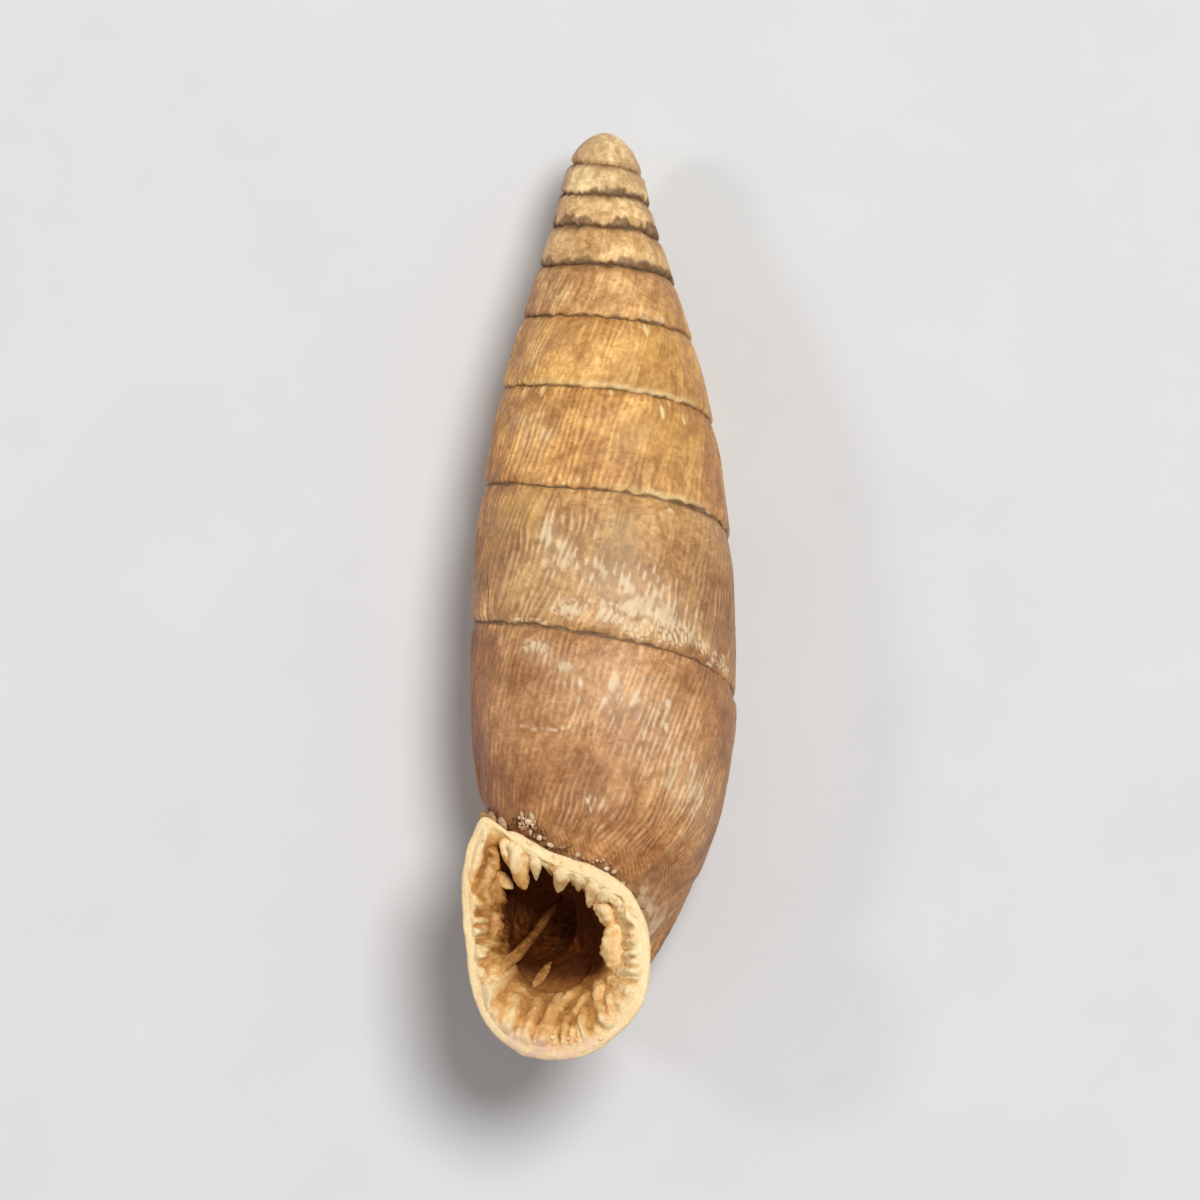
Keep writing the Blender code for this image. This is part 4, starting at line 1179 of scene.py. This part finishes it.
def mouth_piece(name, columns, material):
    """The lip, the mouth's wall and the hollow's, as one sheet."""
    at = np.concatenate([np.linspace(*span) for span in MOUTH_SPANS])
    angle = mouth_angle(np.linspace(0, 1, columns + 1))
    points = throat_sheet(angle, at)
    a = (angle % 360)[None, :]
    k = at[:, None]
    across, up, _ = on_mouth_plane(points)
    x = across + WALL_SWAY * (uneven("wall across", across, up, k) - 0.5)
    y = up + WALL_SWAY * (uneven("wall up", across, up, k) - 0.5)
    border = BORDER[0] + BORDER[1] * (uneven("border", a) - 0.5)
    on_wall = over(k - border, "wall") * until(k, "wall end")
    ridged = np.zeros(x.shape)
    for ends, half, height in RIDGES:
        near, share = beside_line(x, y, np.array(ends) / 100)
        height = height / 100
        knobs = 0.7 + 0.6 * uneven("knobs", share, height)
        height = height * knobs * (1 - RIDGE_END * over(share, "ridge end"))
        round_off = np.maximum(1 - (near / (RIDGE_SPREAD * half / 100)) ** 2, 0)
        ridged = np.maximum(ridged, height * round_off)
    # dark: painted shade in the wall's hollows
    sunk, dark = np.zeros(x.shape), np.zeros(x.shape)
    for middle, rise, half, high, deep, darkness in np.array(PITS) / 100:
        inside = bell((x - middle) / half) * bell((y - rise) / high)
        sunk = np.maximum(sunk, deep * inside)
        dark = np.maximum(dark, darkness * inside)
    lumpy = uneven("lumpy", across, up, k) - 0.5
    grainy = uneven("wall grain", across, up, k)
    left_wall = bell((a - LEFT_WALL[0]) / LEFT_WALL[1])
    relief = on_wall * (
        ridged - sunk * (1 - np.minimum(ridged / 0.06, 1) * 0.6)
        + (LUMP_HEIGHT[0] + LUMP_HEIGHT[1] * left_wall) * lumpy + WALL_GRAIN * (grainy - 0.5))
    rim = over(k, "rim start") * until(k, "rim end")
    relief = relief - rim * (RIM_HEIGHT[0] * uneven("rim", a, k) + RIM_HEIGHT[1] * grainy)
    points = points + normals_of(points) * relief[..., None]
    on_ridge = np.minimum(ridged / 0.05, 1) * on_wall
    masks = {
        # the wall's tone is paler on the ridges and lumps and darker in the dips: painted light and
        # shade of the relief
        "tone": wall_tone(angle % 360, at) - 0.20 * on_ridge * until(k, "deep")
        - 0.35 * on_wall * lumpy * (0.6 + left_wall),
        "pit_shade": np.clip(dark * on_wall * (1 - 0.8 * on_ridge) * (0.5 + grainy), 0, 1),
        "rosy": bell((a - ROSY_RIM[0]) / ROSY_RIM[1]) * until(k, "rosy end"),
        "wall": on_wall,
    }
    sheet_piece(name, points, grid_faces(points.shape), masks, material)


def lobes_piece(name, lobes, material):
    """Rounded lobes along smooth lines, as one piece: the teeth, pillows and lamellae."""
    rows, around = LOBE_GRID
    share = (1 - np.cos(np.linspace(0, math.pi, rows + 1))) / 2
    s, w = share[:, None], np.linspace(0, 2 * math.pi, around + 1)[None, :]
    right, up, out = mouth_frame()
    grids, tones = [], []
    for number, (ends, halves, blunt, first, last) in enumerate(lobes):
        knots = [(i, *np.array((*end, half)) / 100)
                 for i, (end, half) in enumerate(zip(ends, halves))]
        x, y, z, half = smooth_table(knots, s * (len(ends) - 1))
        line = np.array(MOUTH_CENTRE) + x * right + y * up + z * out
        ahead = unit(np.gradient(line, axis=0))
        toward = unit(out - ahead * (ahead @ out)[:, None])
        beside = np.cross(ahead, toward)
        root = 1 - np.minimum(s / ROOT_SHARE, 1)
        cap = np.sqrt(np.maximum(1 - s**blunt, 0)) * np.sqrt(np.maximum(1 - root**2, 0))
        far = s * np.linalg.norm(np.diff(line, axis=0), axis=1).sum()
        rough, fine = (
            uneven(kind, far + number * apart, np.cos(w), np.sin(w))
            for kind, apart in LOBE_LUMPS)
        thick = half * cap * (0.70 + 0.60 * rough + 0.34 * (fine - 0.5))
        grids.append(line[:, None] + thick[..., None] * (
            np.cos(w)[..., None] * toward[:, None] * LOBE_FLAT
            + np.sin(w)[..., None] * beside[:, None]))
        tones.append((first + (last - first) * over(s, "lobe tone")) / 100 + 0.30 * (0.5 - fine))
    points = np.array(grids)
    each = grid_faces(points.shape[1:])
    faces = np.concatenate([each + i * points[0, ..., 0].size for i in range(len(lobes))])
    masks = {"tone": np.array(tones), "pit_shade": 0.0, "rosy": 0.0, "wall": 1.0}
    sheet_piece(name, points, faces, masks, material)


# --- Small things ---
def blob(seed):
    """Vertices and faces of a small uneven lump of radius about 1."""
    ball = bmesh.new()
    bmesh.ops.create_icosphere(ball, subdivisions=2, radius=1)
    at = np.array([vertex.co for vertex in ball.verts])
    faces = [[vertex.index for vertex in face.verts] for face in ball.faces]
    ball.free()
    x, y, z = at.T
    return at * (0.62 + 0.75 * uneven("lump", x + seed * LUMP_APART, y, z))[:, None], faces


def grains_piece(name, grains, material):
    """Many small lumps as one piece: (centre, normal, lengthwise direction, sizes, tint)."""
    points, faces, tints = [], [], []
    for number, (centre, normal, along, sizes, tint) in enumerate(grains):
        ball, sides = blob(number)
        long = unit(along - normal * (along @ normal))
        start = number * len(ball)
        points.append(centre + (ball * sizes) @ np.array([long, np.cross(normal, long), normal]))
        faces += [[start + i for i in side] for side in sides]
        tints.append(np.full(len(ball), tint, np.float32))
    mesh = bpy.data.meshes.new(name)
    mesh.from_pydata(lay_down(np.concatenate(points)).tolist(), [], faces)
    layer = mesh.attributes.new("tint", "FLOAT", "POINT")
    layer.data.foreach_set("value", np.concatenate(tints))
    dress(name, mesh, material)


def on_body(turn, depth):
    """A point on the whorls and the outward normal there."""
    step = 0.01
    at = [
        place(t, spindle(d), d)
        for t, d in ((turn, depth), (turn + step, depth), (turn, depth + step))
    ]
    normal = unit(np.cross(at[2] - at[0], at[1] - at[0]))
    return at[0], normal * np.sign(normal[:2] @ at[0][:2])


def body_grains():
    """Grains and single lumps of dirt, for grains_piece."""
    found = []
    for turn, depth, long, high, count, size, tint in GRAINS:
        for _ in range(count):
            at_turn = turn + long * random.uniform(-1, 1)
            at_depth = depth + SEAM_SLOPE * (at_turn - turn) + high * random.uniform(-1, 1)
            scale = size * random.uniform(*GRAIN_SIZES)
            sizes = (scale, scale * random.uniform(*GRAIN_WIDTHS), scale * GRAIN_FLAT)
            along = np.array([random.uniform(-1, 1), GRAIN_INWARD, random.uniform(-1, 1)])
            found.append((
                *on_body(at_turn, at_depth), along, sizes, tint + random.uniform(*GRAIN_TINTS)))
    for turn, depth, long, wide, turned, tint in CRUMBS:
        turned = math.radians(turned)
        along = np.array([math.cos(turned), 0.0, math.sin(turned)])
        sizes = np.multiply(CRUMB_SIZE, (long, wide, wide))
        found.append((*on_body(turn, depth), along, sizes, tint - CRUMB_DARKER))
    return found


# --- Materials ---
class Recipe:
    """A node material on the Principled shader, built step by step."""

    def __init__(self, name, roughness, specular=SHELL_SHINE):
        self.material = bpy.data.materials.new(name)
        self.material.use_nodes = True
        self.tree = self.material.node_tree
        self.shader = self.tree.nodes["Principled BSDF"]
        self.shader.inputs["Specular IOR Level"].default_value = specular
        self.shader.inputs["Roughness"].default_value = roughness
        self.where = self.add("ShaderNodeTexCoord").outputs["Object"]

    def add(self, kind, **settings):
        node = self.tree.nodes.new(kind)
        for key, value in settings.items():
            setattr(node, key, value)
        return node

    def set(self, socket, value):
        if isinstance(value, bpy.types.NodeSocket):
            self.tree.links.new(value, socket)
        else:
            socket.default_value = value

    def fill(self, node, values):
        for socket, value in zip(node.inputs, values):
            self.set(socket, value)
        return node.outputs[0]

    def mask(self, name):
        return self.add("ShaderNodeAttribute", attribute_name=name).outputs["Fac"]

    def math(self, operation, *values):
        return self.fill(self.add("ShaderNodeMath", operation=operation), values)

    def times(self, *values):
        return self.math("MULTIPLY", *values)

    def scaled(self, value, low, high, to_low=0.0, to_high=1.0):
        node = self.add("ShaderNodeMapRange", interpolation_type="SMOOTHSTEP")
        return self.fill(node, (value, low, high, to_low, to_high))

    def noise(self, kind):
        """One of the kinds of NOISES."""
        size, detail, rough, twist = NOISES[kind]
        node = self.add("ShaderNodeTexNoise")
        self.set(node.inputs["Vector"], self.where)
        node.inputs["Scale"].default_value = 1 / (size * MM)
        node.inputs["Detail"].default_value = detail
        node.inputs["Roughness"].default_value = rough
        node.inputs["Distortion"].default_value = twist
        return node.outputs["Fac"]

    def level(self, kind, value=None):
        """A value, or the noise of that kind, in the levels of LEVELS."""
        return self.scaled(self.noise(kind) if value is None else value, *LEVELS[kind])

    def ramp(self, value, rows):
        node = self.add("ShaderNodeValToRGB")
        ramp = node.color_ramp
        ramp.elements[0].position, ramp.elements[0].color = rows[0]
        ramp.elements[1].position, ramp.elements[1].color = rows[-1]
        for position, colour in rows[1:-1]:
            ramp.elements.new(position).color = colour
        self.set(node.inputs["Fac"], value)
        return node.outputs["Color"]

    def mix(self, factor, first, second, blend="MIX"):
        node = self.add("ShaderNodeMix", data_type="RGBA", blend_type=blend)
        self.set(node.inputs["Factor"], factor)
        self.set(node.inputs[6], first)
        self.set(node.inputs[7], second)
        return node.outputs[2]

    def shade(self, factor, colour, tint):
        """The colour multiplied by a tint, as far as the factor says."""
        return self.mix(factor, colour, self.mix(1.0, colour, tint, "MULTIPLY"))

    def sway(self, value, colour, ends):
        """The colour multiplied by what lies between two tints, as the value says."""
        low, high, first, second = ends
        return self.mix(
            1.0, colour, self.mix(self.scaled(value, low, high), first, second), "MULTIPLY")

    def finish(self, colour, rough, bump=None, bump_mm=SKIN_BUMP):
        self.set(self.shader.inputs["Base Color"], colour)
        self.set(self.shader.inputs["Roughness"], rough)
        if bump is not None:
            node = self.add("ShaderNodeBump")
            node.inputs["Distance"].default_value = bump_mm * MM
            node.inputs["Strength"].default_value = 1.0
            self.set(node.inputs["Height"], bump)
            self.set(self.shader.inputs["Normal"], node.outputs["Normal"])
        return self.material


def grey(level):
    return (level, level, level, 1)


def whorl_material(name, with_collar=False):
    r = Recipe(name, SHELL_ROUGH)
    colour = r.ramp(r.math("DIVIDE", r.mask("tone"), TONE_TURNS), TONES)
    cloud = r.times(r.math("ADD", r.mask("cloud"), r.noise("cloud")), 0.5)
    colour = r.sway(cloud, colour, CLOUDS)
    # the shades hold painted light and shade of the whorls' sides: rosy on the left, the tall brown
    # patches at the sides
    for mask, strength, tint in SHADES:
        colour = r.shade(r.times(r.mask(mask), strength), colour, tint)
    colour = r.sway(r.mask("streak"), colour, STREAKS)
    mottle = r.noise("mottle")
    colour = r.sway(mottle, colour, MOTTLES)
    colour = r.sway(r.noise("fleck"), colour, FLECKS)
    colour = r.sway(r.mask("crest"), colour, CRESTS)
    for mask, strength, tint in LAYERS:
        if mask != "collar" or with_collar:
            colour = r.mix(r.times(r.mask(mask), strength), colour, tint)
    low, high, first, second = DIRT_TONES
    dirt_tone = r.mix(r.scaled(r.noise("dirt"), low, high), first, second)
    dirt = r.mask("dirt")
    colour = r.mix(r.times(dirt, DIRT_STRENGTH), colour, dirt_tone)
    rough = r.math("ADD", r.level("whorl sheen", mottle), r.times(dirt, DIRT_ROUGHER))
    return r.finish(colour, rough, r.noise("skin"))


def mouth_material(name):
    """For the lip, its wall and all that stands on it."""
    r = Recipe(name, SHELL_ROUGH)
    mottle = r.noise("lip")
    sway = r.times(r.math("SUBTRACT", mottle, 0.5), TONE_MOTTLE)
    tone = r.math("ADD", r.mask("tone"), sway)
    colour = r.ramp(r.math("DIVIDE", tone, LIP_TONE_END), LIP_TONES)
    orange = r.times(r.times(r.level("orange"), r.mask("wall")), r.scaled(tone, *ORANGE_TONES))
    colour = r.mix(orange, colour, ORANGE_TINT)
    # ochre laid where the wall is hollow: painted shade
    colour = r.mix(r.times(r.mask("pit_shade"), PIT_SHADE_STRENGTH), colour, OCHRE_SHADE_TINT)
    colour = r.mix(r.times(r.mask("rosy"), r.level("rosy")), colour, ROSY_TINT)
    colour = r.shade(r.level("rusty"), colour, RUSTY_TINT)
    return r.finish(colour, r.level("lip sheen", mottle), r.noise("lip skin"))


def grain_material(name):
    r = Recipe(name, GRAIN_ROUGH)
    sway = r.times(r.math("SUBTRACT", r.noise("grain"), 0.5), TINT_SPREAD)
    colour = r.ramp(r.math("ADD", r.mask("tint"), sway), GRAIN_TONES)
    return r.finish(colour, r.level("grain sheen"), r.noise("grain skin"), GRAIN_BUMP)


# --- Stage ---
def floor_piece():
    corners = [(x * FLOOR_HALF, y * FLOOR_HALF, 0) for x, y in ((-1, -1), (1, -1), (1, 1), (-1, 1))]
    mesh = bpy.data.meshes.new("floor")
    mesh.from_pydata(corners, [], [(0, 1, 2, 3)])
    r = Recipe("floor_paper", PAPER_ROUGH, PAPER_SHINE)
    colour = r.mix(r.level("paper"), *map(grey, PAPER_GREYS))
    mesh.materials.append(r.finish(colour, r.level("paper sheen")))
    linked("floor", mesh)


def area_light(name, direction, distance, size, power):
    lamp = bpy.data.lights.new(name, "AREA")
    lamp.shape = "DISK"
    lamp.size = size
    lamp.energy = power
    light = linked(name, lamp)
    away = Vector(direction).normalized()
    light.location = MIDDLE + away * distance
    light.rotation_euler = away.to_track_quat("Z", "Y").to_euler()


def camera():
    lens = bpy.data.cameras.new("camera")
    lens.lens = LENS
    lens.sensor_width = SENSOR
    lens.clip_start, lens.clip_end = CLIP
    made = linked("camera", lens)
    lean = math.radians(90 - CAMERA_ELEVATION)
    away = Vector((0, -math.sin(lean), math.cos(lean)))
    made.location = MIDDLE + away * (FRAME_HEIGHT * MM * LENS / SENSOR)
    made.rotation_euler = (lean, 0, 0)
    bpy.context.scene.camera = made


def world_light():
    world = bpy.data.worlds.new("studio")
    world.use_nodes = True
    background = world.node_tree.nodes["Background"]
    background.inputs["Color"].default_value = grey(1.0)
    background.inputs["Strength"].default_value = WORLD
    bpy.context.scene.world = world
    bpy.context.scene.view_settings.view_transform = "Standard"


def main():
    cleared = Space(mouth_rings(ring_angles(136), CLEARED_RINGS))
    skin = whorl_material("shell_whorls")
    neck_skin = whorl_material("shell_neck", with_collar=True)
    for name, *sizes in WHORL_PIECES:
        whorl_piece(name, *sizes, skin, cleared)
    neck_piece("neck", *NECK_GRID, neck_skin)
    lip_skin = mouth_material("shell_lip")
    mouth_piece("mouth", MOUTH_COLUMNS, lip_skin)
    lobes_piece("teeth", TEETH, lip_skin)
    lobes_piece("lamellae", LAMELLAE, lip_skin)
    grains_piece("dirt_grains", body_grains(), grain_material("dirt"))
    floor_piece()
    for light in LIGHTS:
        area_light(*light)
    world_light()
    camera()


random.seed(SEED)
box_low, box_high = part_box("shell")
tip_depths = np.linspace(0, TIP, 400)
OFFSET = np.array([
    box_high.x / MM - spindle(np.linspace(*WIDEST_DEPTHS, 400)).max(),
    box_high.y / MM
    - (spindle(tip_depths) * math.sin(PITCHED) - tip_depths * math.cos(PITCHED)).max(),
    0.0,
])
MIDDLE = (box_low + box_high) / 2
main()
